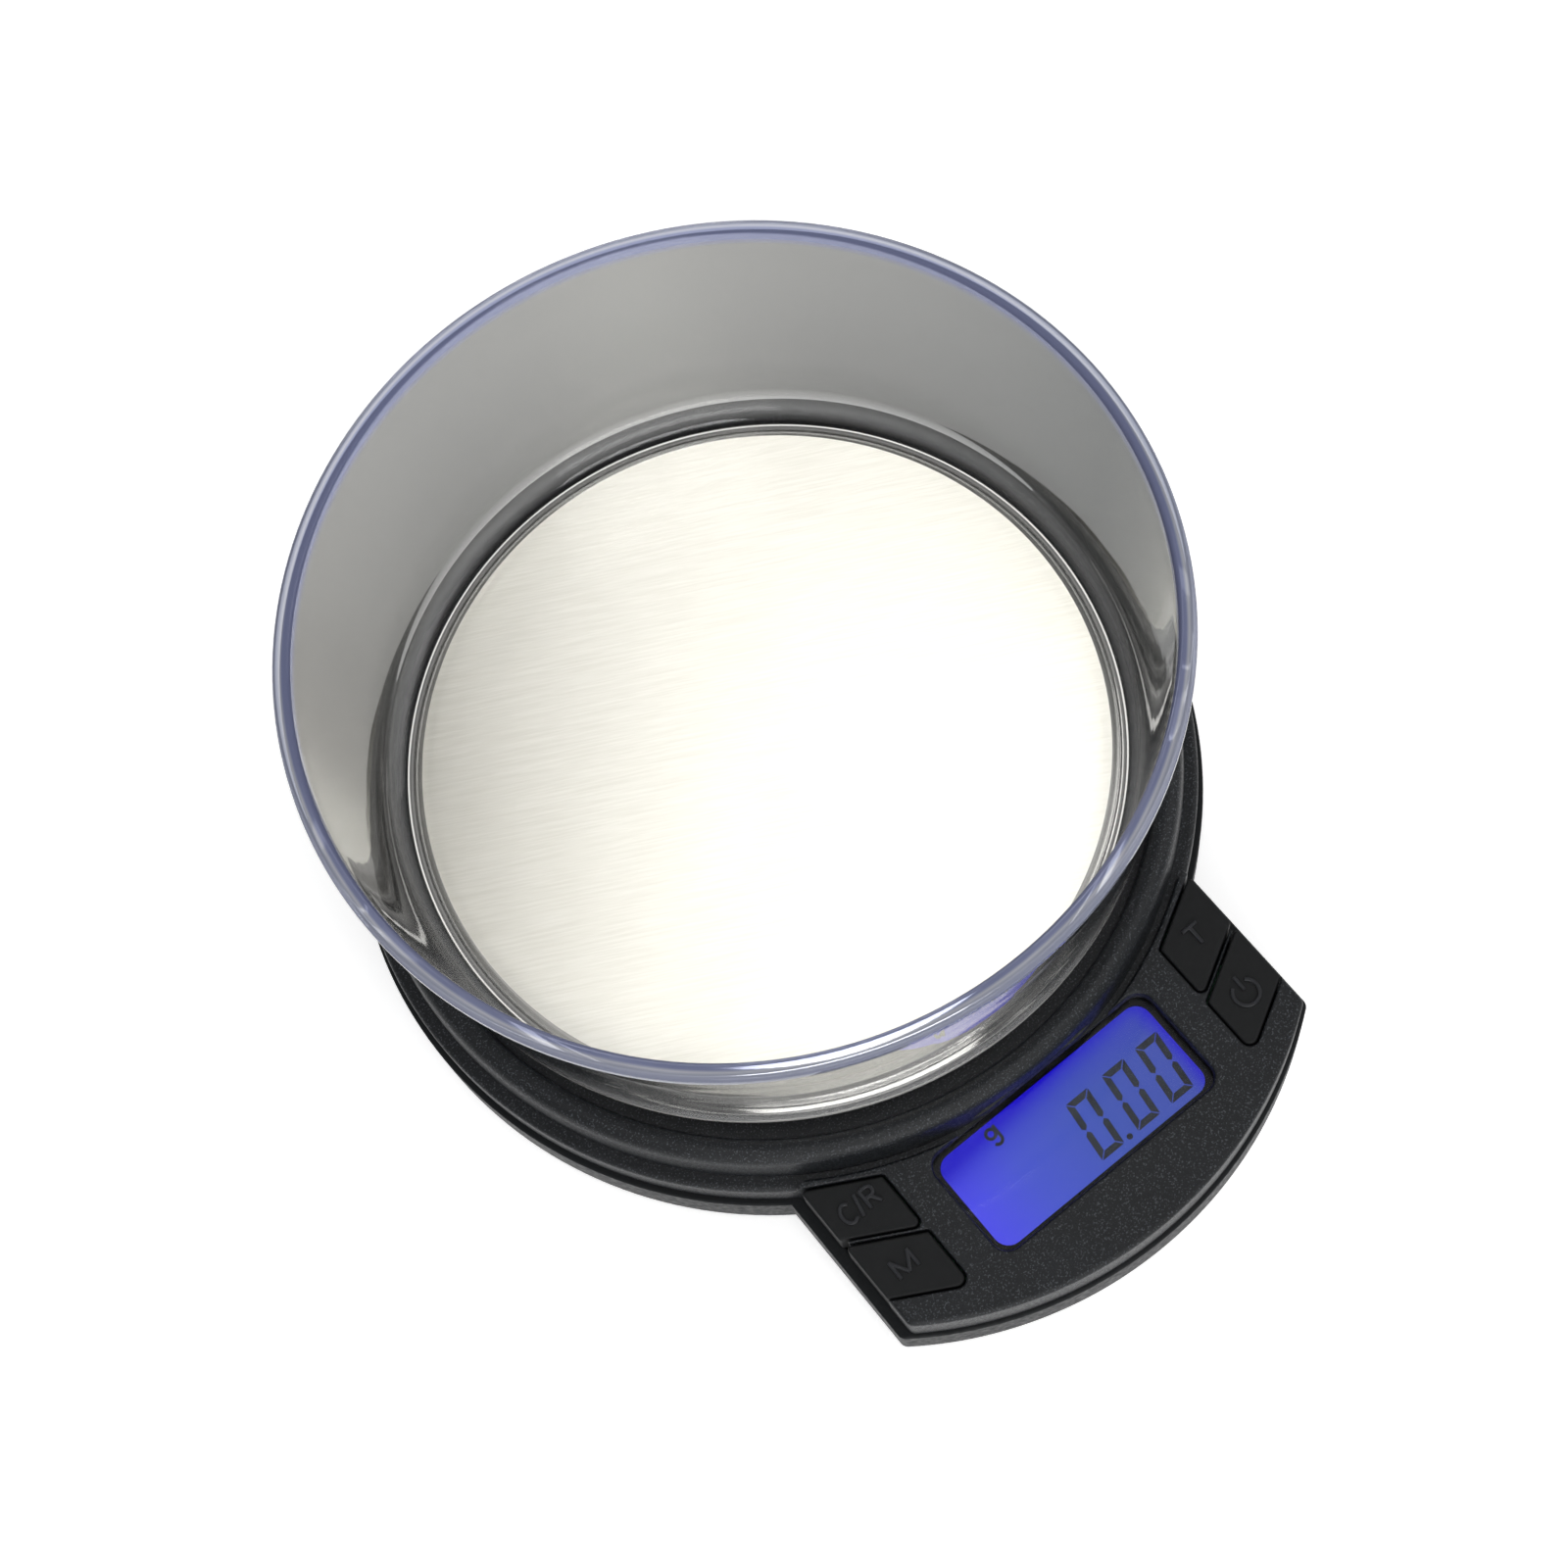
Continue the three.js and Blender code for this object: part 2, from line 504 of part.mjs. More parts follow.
function rib(angle, bottom, top) {
  const bar = new THREE.BoxGeometry(2 * (SUPPORT_RADIUS - 1), 1.4, top - bottom);
  bar.translate(0, 0, (top + bottom) / 2);
  return solid(bar.rotateZ(THREE.MathUtils.degToRad(angle)));
}

function weighingPlatform() {
  const edge = [PLATFORM_RADIUS - PLATFORM_EDGE, PLATFORM_TOP - PLATFORM_EDGE];
  return turned([[0, PLATFORM_TOP - SHEET],
    ...arcPoints(edge, PLATFORM_EDGE - SHEET, 90, 0, 4),
    [PLATFORM_RADIUS - SHEET, PLATFORM_SKIRT_BOTTOM], [PLATFORM_RADIUS, PLATFORM_SKIRT_BOTTOM],
    ...arcPoints(edge, PLATFORM_EDGE, 0, 90, 4), [0, PLATFORM_TOP]]);
}

function bowl() {
  const foot = [BOWL_FOOT_RADIUS - BOWL_FILLET, BOWL_BOTTOM + BOWL_FILLET];
  const beadBottom = BOWL_TOP - RIM_BEAD;
  const round = RIM_STEP + TOUCH;
  const lip = BOWL_RIM_RADIUS - BOWL_WALL - 0.5;
  return turned([[0, BOWL_BOTTOM], ...arcPoints(foot, BOWL_FILLET, -90, 0, 5),
    [BOWL_RIM_RADIUS - RIM_STEP, beadBottom], [BOWL_RIM_RADIUS, beadBottom + RIM_STEP],
    [BOWL_RIM_RADIUS, BOWL_TOP - round], [BOWL_RIM_RADIUS - round, BOWL_TOP],
    [lip + round, BOWL_TOP], [lip, BOWL_TOP - round],
    ...arcPoints(foot, BOWL_FILLET - BOWL_WALL, 0, -90, 4), [0, BOWL_BOTTOM + BOWL_WALL]]);
}

// ---- Frames, screws and switches ----------------------------------------------------
function frameRing(outerX, outerY, innerX, innerY, z) {
  return cut(box(outerX, outerY, z), box(innerX, innerY, [z[0] - 1, z[1] + 1]));
}

function shrink([low, high], by) {
  return [low + by, high - by];
}

// A cross-recess screw. up = 1 puts its head at the bottom, up = -1 at the top.
function screw([x, y], headFace, up, size) {
  const far = headFace + up * size.headHeight;
  const span = (a, b) => [Math.min(a, b), Math.max(a, b)];
  const head = cylinder(size.head, [x, y], ...span(headFace, far));
  const shank = cylinder(size.shank, [x, y], ...span(far - up * GAP, far + up * size.length));
  const arm = size.head * 0.62;
  const deep = span(headFace - up, headFace + up * size.headHeight * 0.6);
  const half = CROSS_WIDTH / 2;
  const cross = [box([x - arm, x + arm], [y - half, y + half], deep),
    box([x - half, x + half], [y - arm, y + arm], deep)];
  return cut(joined(head, shank), ...cross);
}

// A push switch on the board, whose plunger stops just short of the pressed key.
function keySwitch([x, y]) {
  const top = KEY_BOTTOM - KEY_TRAVEL - 2 * TOUCH;
  const can = box([x - SWITCH_HALF, x + SWITCH_HALF], [y - SWITCH_HALF, y + SWITCH_HALF],
    [BOARD_TOP + TOUCH, top - 0.8]);
  return joined(can, cylinder(SWITCH_HALF / 2, [x, y], BOARD_TOP + 1, top));
}

// ---- Build: casing ------------------------------------------------------------------
place('lower_shell', lowerShell(), plastic);
place('upper_shell', upperShell(), plastic);
place('battery_door', batteryDoor(), plastic);
FEET.forEach((at, i) => place(`rubber_foot_${i + 1}`,
  cylinder(FOOT_RADIUS, at, 0, FOOT_HEIGHT + FOOT_RECESS - TOUCH, FOOT_STEPS), rubber));
CASE_SCREWS.forEach((at, i) => place(`case_screw_${i + 1}`,
  screw(at, SCREW_HEAD_Z - TOUCH - CASE_SCREW.headHeight, 1, CASE_SCREW), zinc));

// ---- Build: weighing ----------------------------------------------------------------
place('load_cell', loadCell(), aluminium);
place('strain_gauge_top', box([-7, 7], [-4, 4],
  [CELL_TOP + TOUCH / 2, CELL_TOP + TOUCH / 2 + GAUGE_THICK]), white);
place('strain_gauge_bottom', box([-7, 7], [-4, 4],
  [CELL_BOTTOM - TOUCH / 2 - GAUGE_THICK, CELL_BOTTOM - TOUCH / 2]), white);
[-CELL_HOLES[0], -CELL_HOLES[1]].forEach((x, i) => place(`load_cell_screw_${i + 1}`,
  screw([x, 0], CELL_SCREW_Z, 1, CELL_SCREW), zinc));
place('overload_stop_screw', screw([CELL_HOLES[1], 0], CELL_SCREW_Z, 1, STOP_SCREW), zinc);
place('platform_support', platformSupport(), plastic);
CELL_HOLES.forEach((x, i) => place(`platform_screw_${i + 1}`,
  screw([x, 0], SUPPORT_TOP - 2 * TOUCH, -1, PLATFORM_SCREW), zinc));
[45, 135, 225, 315].forEach((angle, i) => {
  const at = arcPoints([0, 0], PAD_CIRCLE, angle, angle, 1)[0];
  const bottom = SUPPORT_TOP + TOUCH;
  place(`platform_pad_${i + 1}`,
    cylinder(PAD_RADIUS, at, bottom, bottom + PAD_THICK, 2 * SMALL_STEPS), foam);
});
place('weighing_platform', weighingPlatform(), steel);
place('bowl', bowl(), clear);

// ---- Build: display -----------------------------------------------------------------
const GLASS_BOTTOM = GLASS_TOP - GLASS_THICK;
place('lcd_window', prism(roundedRect(HOLDER_X, HOLDER_Y, 2),
  WINDOW_TOP - WINDOW_THICK, WINDOW_TOP), clear);
place('lcd_bezel', frameRing(HOLDER_X, HOLDER_Y, [-VIEW_HALF_X, VIEW_HALF_X], VIEW_Y,
  [GLASS_TOP + TOUCH / 2, GLASS_TOP + TOUCH / 2 + BEZEL_THICK]), plastic);
place('lcd_glass', box(shrink(HOLDER_X, 1.1), shrink(HOLDER_Y, 1.1),
  [GLASS_BOTTOM, GLASS_TOP]), blue);
place('backlight_panel', box(shrink(HOLDER_X, 1.3), [HOLDER_Y[0] + 1.3, HOLDER_Y[1] - 3.6],
  [GLASS_BOTTOM - TOUCH - LIGHT_THICK, GLASS_BOTTOM - TOUCH]), white);
place('zebra_strip', box(shrink(HOLDER_X, 2), [HOLDER_Y[1] - 3.2, HOLDER_Y[1] - 1.3],
  [BOARD_TOP + TOUCH, GLASS_BOTTOM - TOUCH]), foam);
place('lcd_holder', frameRing(HOLDER_X, HOLDER_Y, shrink(HOLDER_X, 0.9), shrink(HOLDER_Y, 0.9),
  [BOARD_TOP + TOUCH, GLASS_TOP]), white);

// ---- Build: keys and electronics ----------------------------------------------------
const KEYS = [['tare', 1, 'rear'], ['power', 1, 'front'],
  ['count', -1, 'rear'], ['mode', -1, 'front']];
KEYS.forEach(([name, side, row]) => {
  place(`button_${name}`, key(side, row), rubber);
  const middle = (KEY_ROWS[row][0] + KEY_ROWS[row][1]) / 2;
  place(`switch_${name}`, keySwitch([side * SWITCH_X, middle - 1]), zinc);
});

const boardShape = polygon([[-33, -50], [33, -50], [33, -73], [27, -77], [-27, -77], [-33, -73]]);
place('main_board', prism(boardShape, BOARD_BOTTOM, BOARD_TOP), green);
place('scale_chip', turned([[0, BOARD_TOP + TOUCH], [4.3, BOARD_TOP + TOUCH], [3.9, 7.9],
  [2.5, 8.5], [0, 8.7]], 2 * SMALL_STEPS).translate([0, -54.6, 0]), plastic);
place('cell_connector', box([-17, -9], CONNECTOR_Y, [BOARD_TOP + TOUCH, CONNECTOR_TOP]), white);
place('power_connector', box([10, 15], CONNECTOR_Y, [BOARD_TOP + TOUCH, CONNECTOR_TOP]), white);
place('load_cell_cable', tube([[-8.5, -6.6, 9.5], [-8.8, -9, 8.6], [-9.5, -13, 6.2],
  [-11, -22, 5.3], [-12.5, -36, 5.3], [-13, -44, 6.6], [-13, -50, 9.0], [-13, -54.8, 9.2]],
CABLE_RADIUS, 6, 24), white);

// ---- Build: battery bay -------------------------------------------------------------
BATTERY_Y.forEach((y, i) => {
  const side = i === 0 ? 1 : -1;
  place(`battery_${i + 1}`, battery(y, side), cell);
  place(`battery_spring_${i + 1}`, springContact(-side, y), zinc);
  place(`battery_plate_${i + 1}`, plateContact(side, y), zinc);
});
place('battery_lead_red', tube([[28, 26, 6.5], [33, 20, 5.2], [36, 4, 5], [32, -20, 5],
  [20, -42, 5.6], [13.4, -50, 8.2], [13.4, -54.8, 9.2]], LEAD_RADIUS, 6, 28), red);
place('battery_lead_black', tube([[-28, 30, 6.5], [-34, 20, 5.2], [-37, 0, 5], [-31, -24, 5.4],
  [-16, -37, 8], [0, -44, 8], [9.5, -49, 8.6], [11.6, -54.8, 9.2]], LEAD_RADIUS, 6, 32), rubber);

export default scale;
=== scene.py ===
import math

import bmesh
import bpy
from mathutils import Matrix, Vector


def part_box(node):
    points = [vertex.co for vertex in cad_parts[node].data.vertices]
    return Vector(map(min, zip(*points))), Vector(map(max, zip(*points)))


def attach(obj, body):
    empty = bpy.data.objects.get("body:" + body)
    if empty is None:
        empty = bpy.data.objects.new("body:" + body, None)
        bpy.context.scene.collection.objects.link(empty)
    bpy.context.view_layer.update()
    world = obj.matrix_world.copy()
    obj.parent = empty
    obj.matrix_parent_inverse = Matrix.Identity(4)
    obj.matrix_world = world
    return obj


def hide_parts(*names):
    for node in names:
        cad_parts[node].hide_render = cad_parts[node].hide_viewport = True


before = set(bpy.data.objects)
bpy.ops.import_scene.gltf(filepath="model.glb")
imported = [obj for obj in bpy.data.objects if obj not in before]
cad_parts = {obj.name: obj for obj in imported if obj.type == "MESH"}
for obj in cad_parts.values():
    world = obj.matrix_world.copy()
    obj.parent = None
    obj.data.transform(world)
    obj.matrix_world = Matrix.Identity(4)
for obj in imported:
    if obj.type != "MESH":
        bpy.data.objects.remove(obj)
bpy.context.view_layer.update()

# ---- Sizes, in millimetres ------------------------------------------------------------
MM = 0.001
GAP = 0.3
WALL = 2.0
ROUND = 160                    # facets of the large round pieces
FINE = 6                       # steps on a small rounded corner or edge

# Casing, lower shell
FOOT_HEIGHT = 2.0
FLOOR_TOP = 4.0
PARTING = 10.0
BASE_RADIUS = 64.2
BASE_HALF_WIDTH = 38.0
FRONT_CENTRE_Y = -26.1
BASE_FRONT_RADIUS = 63.2
CASE_CORNER = 1.4

# Casing, upper shell
COVER_BOTTOM = PARTING + GAP
COVER_RADIUS = 63.3
COVER_HALF_WIDTH = 36.4
COVER_FRONT_RADIUS = 62.6
LEDGE_TOP = 15.4
LEDGE_THICK = 1.5
CONSOLE_TOP = 17.0
CONSOLE_PLATE = 2.0
GROOVE_OUTER = 62.2
COLLAR_OUTER = 61.1
COLLAR_INNER = 56.8
COLLAR_TOP = 22.6
COLLAR_SHOULDER = 18.2         # where its outer wall starts to lean in
COLLAR_LIP = 20.4              # where its inner wall starts to round over
CROWN_MIDDLE = 58.9            # radius at the crown's top
CROWN_ROUND = 2.0
COLLAR_BORE = (58.2, 59.7)     # the hollow under the crown
COLLAR_BORE_TOP = 20.6
WELL_FLOOR_TOP = 16.9
WELL_FLOOR_THICK = 1.5
CELL_SLOT_X = (-28, 28)        # the load cell's slot in the well's floor
CELL_SLOT_Y = (-10.5, 10.5)
CELL_SLOT_CORNER = 3
CONSOLE_HOLLOW_REAR = -56
DISPLAY_BAY_X = (-22, 22)
DISPLAY_BAY_Y = (-64, -57)
RIB_END_Y = (-68, -60)         # the rib between the keys is cut short here

# Platform and bowl
PLATFORM_RADIUS = 54.0
PLATFORM_TOP = 25.6
PLATFORM_EDGE = 3.4
PLATFORM_SKIRT_BOTTOM = 20.0
SHEET = 0.6
LEVEL = 0.005                  # heights closer than this are the same
BOWL_BOTTOM = 25.7
BOWL_FOOT_RADIUS = 56.8
BOWL_FILLET = 5.3
BOWL_RIM_RADIUS = 61.2
BOWL_TOP = 72.0
BOWL_WALL = 2.0
BOWL_FOOT = (48.6, 49.4)       # radii of the step that it stands on
FOOT_STEP = 0.25
RIM_BEAD = 2.4

# Display
LCD_X = (-20.0, 20.0)
LCD_Y = (-78.1, -60.6)
LCD_CORNER = 2.5
VIEW_X = (-19.1, 19.1)
VIEW_Y = (-77.25, -61.2)
VIEW_CORNER = 2.4
HOLDER_X = (-21.0, 21.0)
HOLDER_Y = (-79.0, -59.7)
WINDOW_TOP = 14.9
WINDOW_THICK = 1.0
GLASS_TOP = 13.3
GLASS_THICK = 2.0

# Keys: edges slope up towards the outside
KEY_INNER = 25.85
KEY_OUTER = 36.3
KEY_MIDDLE = 31.0
KEY_SLOPE = 0.554
KEY_ROWS = {"rear": (-64.5, -55.4), "front": (-75.15, -65.6)}
KEY_TOP = 16.8
KEY_BOTTOM = 11.3
KEY_SKIRT = (34.3, 35.6)
KEY_SKIRT_BOTTOM = 9.0
LEGEND_HEIGHT = 0.4
LEGEND_STROKE = 0.55

# Underside
CASE_SCREWS = ((45, 37.7), (-45, 37.7), (55, -20), (-55, -20), (23.6, -80.6), (-23.6, -80.6))
FEET = ((36, 40), (-36, 40), (29, -72), (-29, -72))
FOOT_RADIUS = 5.0
FOOT_RECESS = 0.6
FOOT_ROUND = 0.6
POST_RADIUS = 2.3
LOWER_POST_RADIUS = 2.9
LOWER_POST_TOP = 9.6
SCREW_HEAD_Z = 6.0
SCREW_WELL = 2.1               # radii of a case screw's well, clearance bore and thread
SCREW_BORE = 1.3
SCREW_THREAD = 1.2
SCREW_HEAD_ROUND = 0.5
BOARD_POSTS = ((-30, -56), (30, -56), (-24, -76.2), (24, -76.2))
BOARD_POST_RADIUS = 1.8
BOARD_POST_TOP = 5.3
CELL_HOLES = (12.5, 19.5)
CELL_SCREW_Z = 2.2
CELL_WELL = 3.1
CELL_WELL_TOP = 3.4
CELL_BORE = 1.7
PEDESTAL_X = (-25, -10)        # carries the load cell's fixed end
PEDESTAL_Y = (-7.5, 7.5)
PEDESTAL_TOP = 6.4
STOP_BOSS_RADIUS = 4           # holds the overload stop
STOP_BOSS_TOP = 5.4
BAY_X = (-25.4, 25.4)
BAY_Y = (20.8, 43.4)
BAY_TOP = 14.8
BAY_WALL = 1.5
DOOR_X = (-24.9, 24.9)
DOOR_FRONT = 18.8
DOOR_THICK = 1.4
GRIP_X = (-8, 8)               # three finger grooves in the door
GRIP_FRONT = 48
GRIP_PITCH = 2.2
GRIP_WIDTH = 1.1
DOOR_ARROW = ((-3.2, 30.0), (3.2, 30.0), (0, 36.5))
BATTERY_RADIUS = 5.25
BATTERY_LENGTH = 44.5
BATTERY_Y = (26.4, 37.6)
BATTERY_Z = 9.2

FAR = 90                       # past every side of the casing, for cutters
HIGH = 30                      # above the casing, for cutters

bowl_low, bowl_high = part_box("bowl")
AXIS = (bowl_low + bowl_high) / 2


def at(x, y, z):
    return Vector((AXIS.x + x * MM, AXIS.y + y * MM, z * MM))


# ---- Camera, floor and light ----------------------------------------------------------
VIEW_AZIMUTH = -23.6
VIEW_ELEVATION = 69.6
VIEW_ROLL = -15.9
VIEW_DISTANCE = 454.9
VIEW_TARGET = (2.7, 2.6, 0)
LENS = 67.5
FLOOR_HALF = 3.0               # metres


# Azimuth 0 is in front of the console, on the -Y side, and 90 is on the +X side.
def direction(azimuth, elevation):
    a, e = math.radians(azimuth), math.radians(elevation)
    return Vector((math.sin(a) * math.cos(e), -math.cos(a) * math.cos(e), math.sin(e)))


def make_camera():
    back = direction(VIEW_AZIMUTH, VIEW_ELEVATION)
    right = Vector((0, 0, 1)).cross(back).normalized()
    up = back.cross(right)
    roll = math.radians(VIEW_ROLL)
    tilted_right = right * math.cos(roll) + up * math.sin(roll)
    tilted_up = up * math.cos(roll) - right * math.sin(roll)
    camera = bpy.data.objects.new("camera", bpy.data.cameras.new("camera"))
    camera.data.lens = LENS
    camera.data.sensor_width = 36.0
    camera.data.clip_start = 0.01
    bpy.context.scene.collection.objects.link(camera)
    turn = Matrix((tilted_right, tilted_up, back)).transposed().to_4x4()
    camera.matrix_world = Matrix.Translation(at(*VIEW_TARGET) + back * VIEW_DISTANCE * MM) @ turn
    bpy.context.scene.camera = camera


# A soft box that faces the base: size and distance in metres, angles in degrees.
def area_light(name, azimuth, elevation, distance, size, watts):
    light = bpy.data.lights.new(name, "AREA")
    light.shape = "RECTANGLE"
    light.size, light.size_y = size
    light.energy = watts
    lamp = bpy.data.objects.new(name, light)
    away = direction(azimuth, elevation)
    lamp.matrix_world = (Matrix.Translation(at(0, 0, 0) + away * distance)
                         @ away.to_track_quat("Z", "Y").to_matrix().to_4x4())
    bpy.context.scene.collection.objects.link(lamp)


def make_lighting():
    bpy.context.scene.world = studio_world()
    area_light("top_light", -14, 75, 1.2, (0.40, 0.24), 2.5)
    area_light("front_light", -22, 27, 1.3, (1.1, 0.6), 8)
    area_light("right_light", 66, 42, 1.3, (0.7, 0.7), 2.5)
    bpy.context.scene.view_settings.view_transform = "Standard"


# A room that is dim near the horizon and paler overhead.
def studio_world():
    world = bpy.data.worlds.new("studio")
    world.use_nodes = True
    nodes, links = world.node_tree.nodes, world.node_tree.links
    where = nodes.new("ShaderNodeTexCoord")
    split = nodes.new("ShaderNodeSeparateXYZ")
    ramp = nodes.new("ShaderNodeValToRGB")
    links.new(where.outputs["Generated"], split.inputs["Vector"])
    links.new(split.outputs["Z"], ramp.inputs["Fac"])
    links.new(ramp.outputs["Color"], nodes["Background"].inputs["Color"])
    low, high = ramp.color_ramp.elements
    low.position, low.color = 0.05, (0.10, 0.10, 0.105, 1)
    high.position, high.color = 0.75, (0.46, 0.46, 0.46, 1)
    return world


def make_floor():
    mesh = bpy.data.meshes.new("floor")
    half = FLOOR_HALF
    corners = [(-half, -half, 0), (half, -half, 0), (half, half, 0), (-half, half, 0)]
    mesh.from_pydata(corners, [], [(0, 1, 2, 3)])
    floor = bpy.data.objects.new("floor", mesh)
    bpy.context.scene.collection.objects.link(floor)
    paper = Shader("floor_paper", (0.93, 0.93, 0.93), 0.9, Emission_Color=(1, 1, 1, 1),
                   Emission_Strength=0.45)
    floor.data.materials.append(paper.material)


# ---- Mesh helpers ---------------------------------------------------------------------
def arc(centre, radius, start, end, steps):
    angles = (math.radians(start + (end - start) * i / steps) for i in range(steps + 1))
    return [(centre[0] + radius * math.cos(a), centre[1] + radius * math.sin(a)) for a in angles]


# Faces between two rings of vertices. A ring of one vertex is a point on the axis.
def stitch(bm, lower, upper):
    count = max(len(lower), len(upper))
    for i in range(count):
        j = (i + 1) % count
        if len(lower) == 1:
            bm.faces.new((lower[0], upper[j], upper[i]))
        elif len(upper) == 1:
            bm.faces.new((lower[i], lower[j], upper[0]))
        else:
            bm.faces.new((lower[i], lower[j], upper[j], upper[i]))


def to_object(name, bm):
    bmesh.ops.recalc_face_normals(bm, faces=bm.faces)
    mesh = bpy.data.meshes.new(name)
    bm.to_mesh(mesh)
    bm.free()
    piece = bpy.data.objects.new(name, mesh)
    bpy.context.scene.collection.objects.link(piece)
    return piece


# A profile of (radius, height) points, turned about an upright axis at the centre. It
# starts and ends on the axis, or else closes on itself.
def lathe(name, profile, segments=ROUND, centre=(0, 0)):
    bm = bmesh.new()
    turns = [2 * math.pi * i / segments for i in range(segments)]
    rings = []
    for r, z in profile:
        spots = [(0, 0)] if r == 0 else [(r * math.cos(t), r * math.sin(t)) for t in turns]
        rings.append([bm.verts.new(at(centre[0] + x, centre[1] + y, z)) for x, y in spots])
    if profile[0][0] > 0:
        rings.append(rings[0])
    for lower, upper in zip(rings, rings[1:]):
        stitch(bm, lower, upper)
    return to_object(name, bm)


# A solid whose level i is outline(inset) at height z, for each (inset, z) in levels.
def prism(name, outline, levels):
    bm = bmesh.new()
    rings = [[bm.verts.new(at(x, y, z)) for x, y in outline(inset)] for inset, z in levels]
    for lower, upper in zip(rings, rings[1:]):
        stitch(bm, lower, upper)
    bm.faces.new(list(reversed(rings[0])))
    bm.faces.new(rings[-1])
    return to_object(name, bm)


# Steps round a quarter circle, as (way still to go, way made) pairs.
def quarter(radius, steps):
    if radius == 0:
        return [(0, 0)]
    angles = [math.pi / 2 * i / steps for i in range(steps + 1)]
    return [(radius * (1 - math.sin(a)), radius * (1 - math.cos(a))) for a in angles]


# Levels of a straight wall with rounded edges: bottom radius, then top radius.
def wall_levels(bottom, top, bottom_round=0.0, top_round=0.0, steps=FINE):
    lower = [(inset, bottom + rise) for inset, rise in quarter(bottom_round, steps)]
    upper = [(inset, top - drop) for drop, inset in quarter(top_round, steps)]
    return lower + upper


# Levels of a cutter whose mouth widens at height top, which rounds the edge it leaves.
def flared_levels(bottom, top, mouth, steps=FINE):
    flare = [(-spread, top - drop) for drop, spread in quarter(mouth, steps)]
    return [(0, bottom), *flare, (-mouth, top + 2)]


# A convex polygon with rounded corners, drawn in by the inset. Anticlockwise corners.
def rounded_polygon(corners, radii, inset=0.0, steps=FINE):
    points = [Vector(c) for c in corners]
    count = len(points)
    result = []
    for i, corner in enumerate(points):
        before = (corner - points[i - 1]).normalized()
        after = (points[(i + 1) % count] - corner).normalized()
        turn = math.atan2(before.x * after.y - before.y * after.x, before.dot(after))
        inward = Vector((-before.y, before.x))
        bisector = (inward + Vector((-after.y, after.x))).normalized()
        moved = corner + bisector * (inset / math.cos(turn / 2))
        radius = max(radii[i] - inset, 0.02)
        centre = moved + bisector * (radius / math.cos(turn / 2))
        start = math.degrees(math.atan2(-inward.y, -inward.x))
        result += arc(centre, radius, start, start + math.degrees(turn), steps)
    return result


def rectangle(x, y, radius):
    corners = ((x[0], y[0]), (x[1], y[0]), (x[1], y[1]), (x[0], y[1]))
    return lambda inset: rounded_polygon(corners, [radius] * 4, inset)


def box(name, x, y, z):
    corners = [(x[0], y[0]), (x[1], y[0]), (x[1], y[1]), (x[0], y[1])]
    return prism(name, lambda _: corners, [(0, z[0]), (0, z[1])])


def cylinder(name, radius, centre, bottom, top, segments=48):
    return lathe(name, [(0, bottom), (radius, bottom), (radius, top), (0, top)], segments, centre)


# Applies the piece's modifiers to its mesh.
def bake(piece):
    graph = bpy.context.evaluated_depsgraph_get()
    mesh = bpy.data.meshes.new_from_object(piece.evaluated_get(graph))
    piece.modifiers.clear()
    piece.data = mesh


# Booleans with all the tools, which are then deleted.
def combine(piece, tools, operation):
    for tool in tools:
        modifier = piece.modifiers.new(operation, "BOOLEAN")
        modifier.operation = operation
        modifier.object = tool
        modifier.solver = "EXACT"
    bake(piece)
    for tool in tools:
        bpy.data.objects.remove(tool)
    return piece


def cut(piece, *tools):
    return combine(piece, tools, "DIFFERENCE")


def join(piece, *tools):
    return combine(piece, tools, "UNION")


# Smooth shading with sharp edges kept, and the piece's material, body and the CAD
# nodes that it stands for.
def finish_piece(piece, material, body, replaced, angle=32):
    mesh = piece.data
    mesh.materials.clear()
    mesh.materials.append(material)
    mesh.polygons.foreach_set("use_smooth", [True] * len(mesh.polygons))
    mesh.polygons.foreach_set("material_index", [0] * len(mesh.polygons))
    mesh.set_sharp_from_angle(angle=math.radians(angle))
    weighted = piece.modifiers.new("normals", "WEIGHTED_NORMAL")
    weighted.keep_sharp = True
    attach(piece, body)
    if replaced:
        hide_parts(*replaced)
    return piece


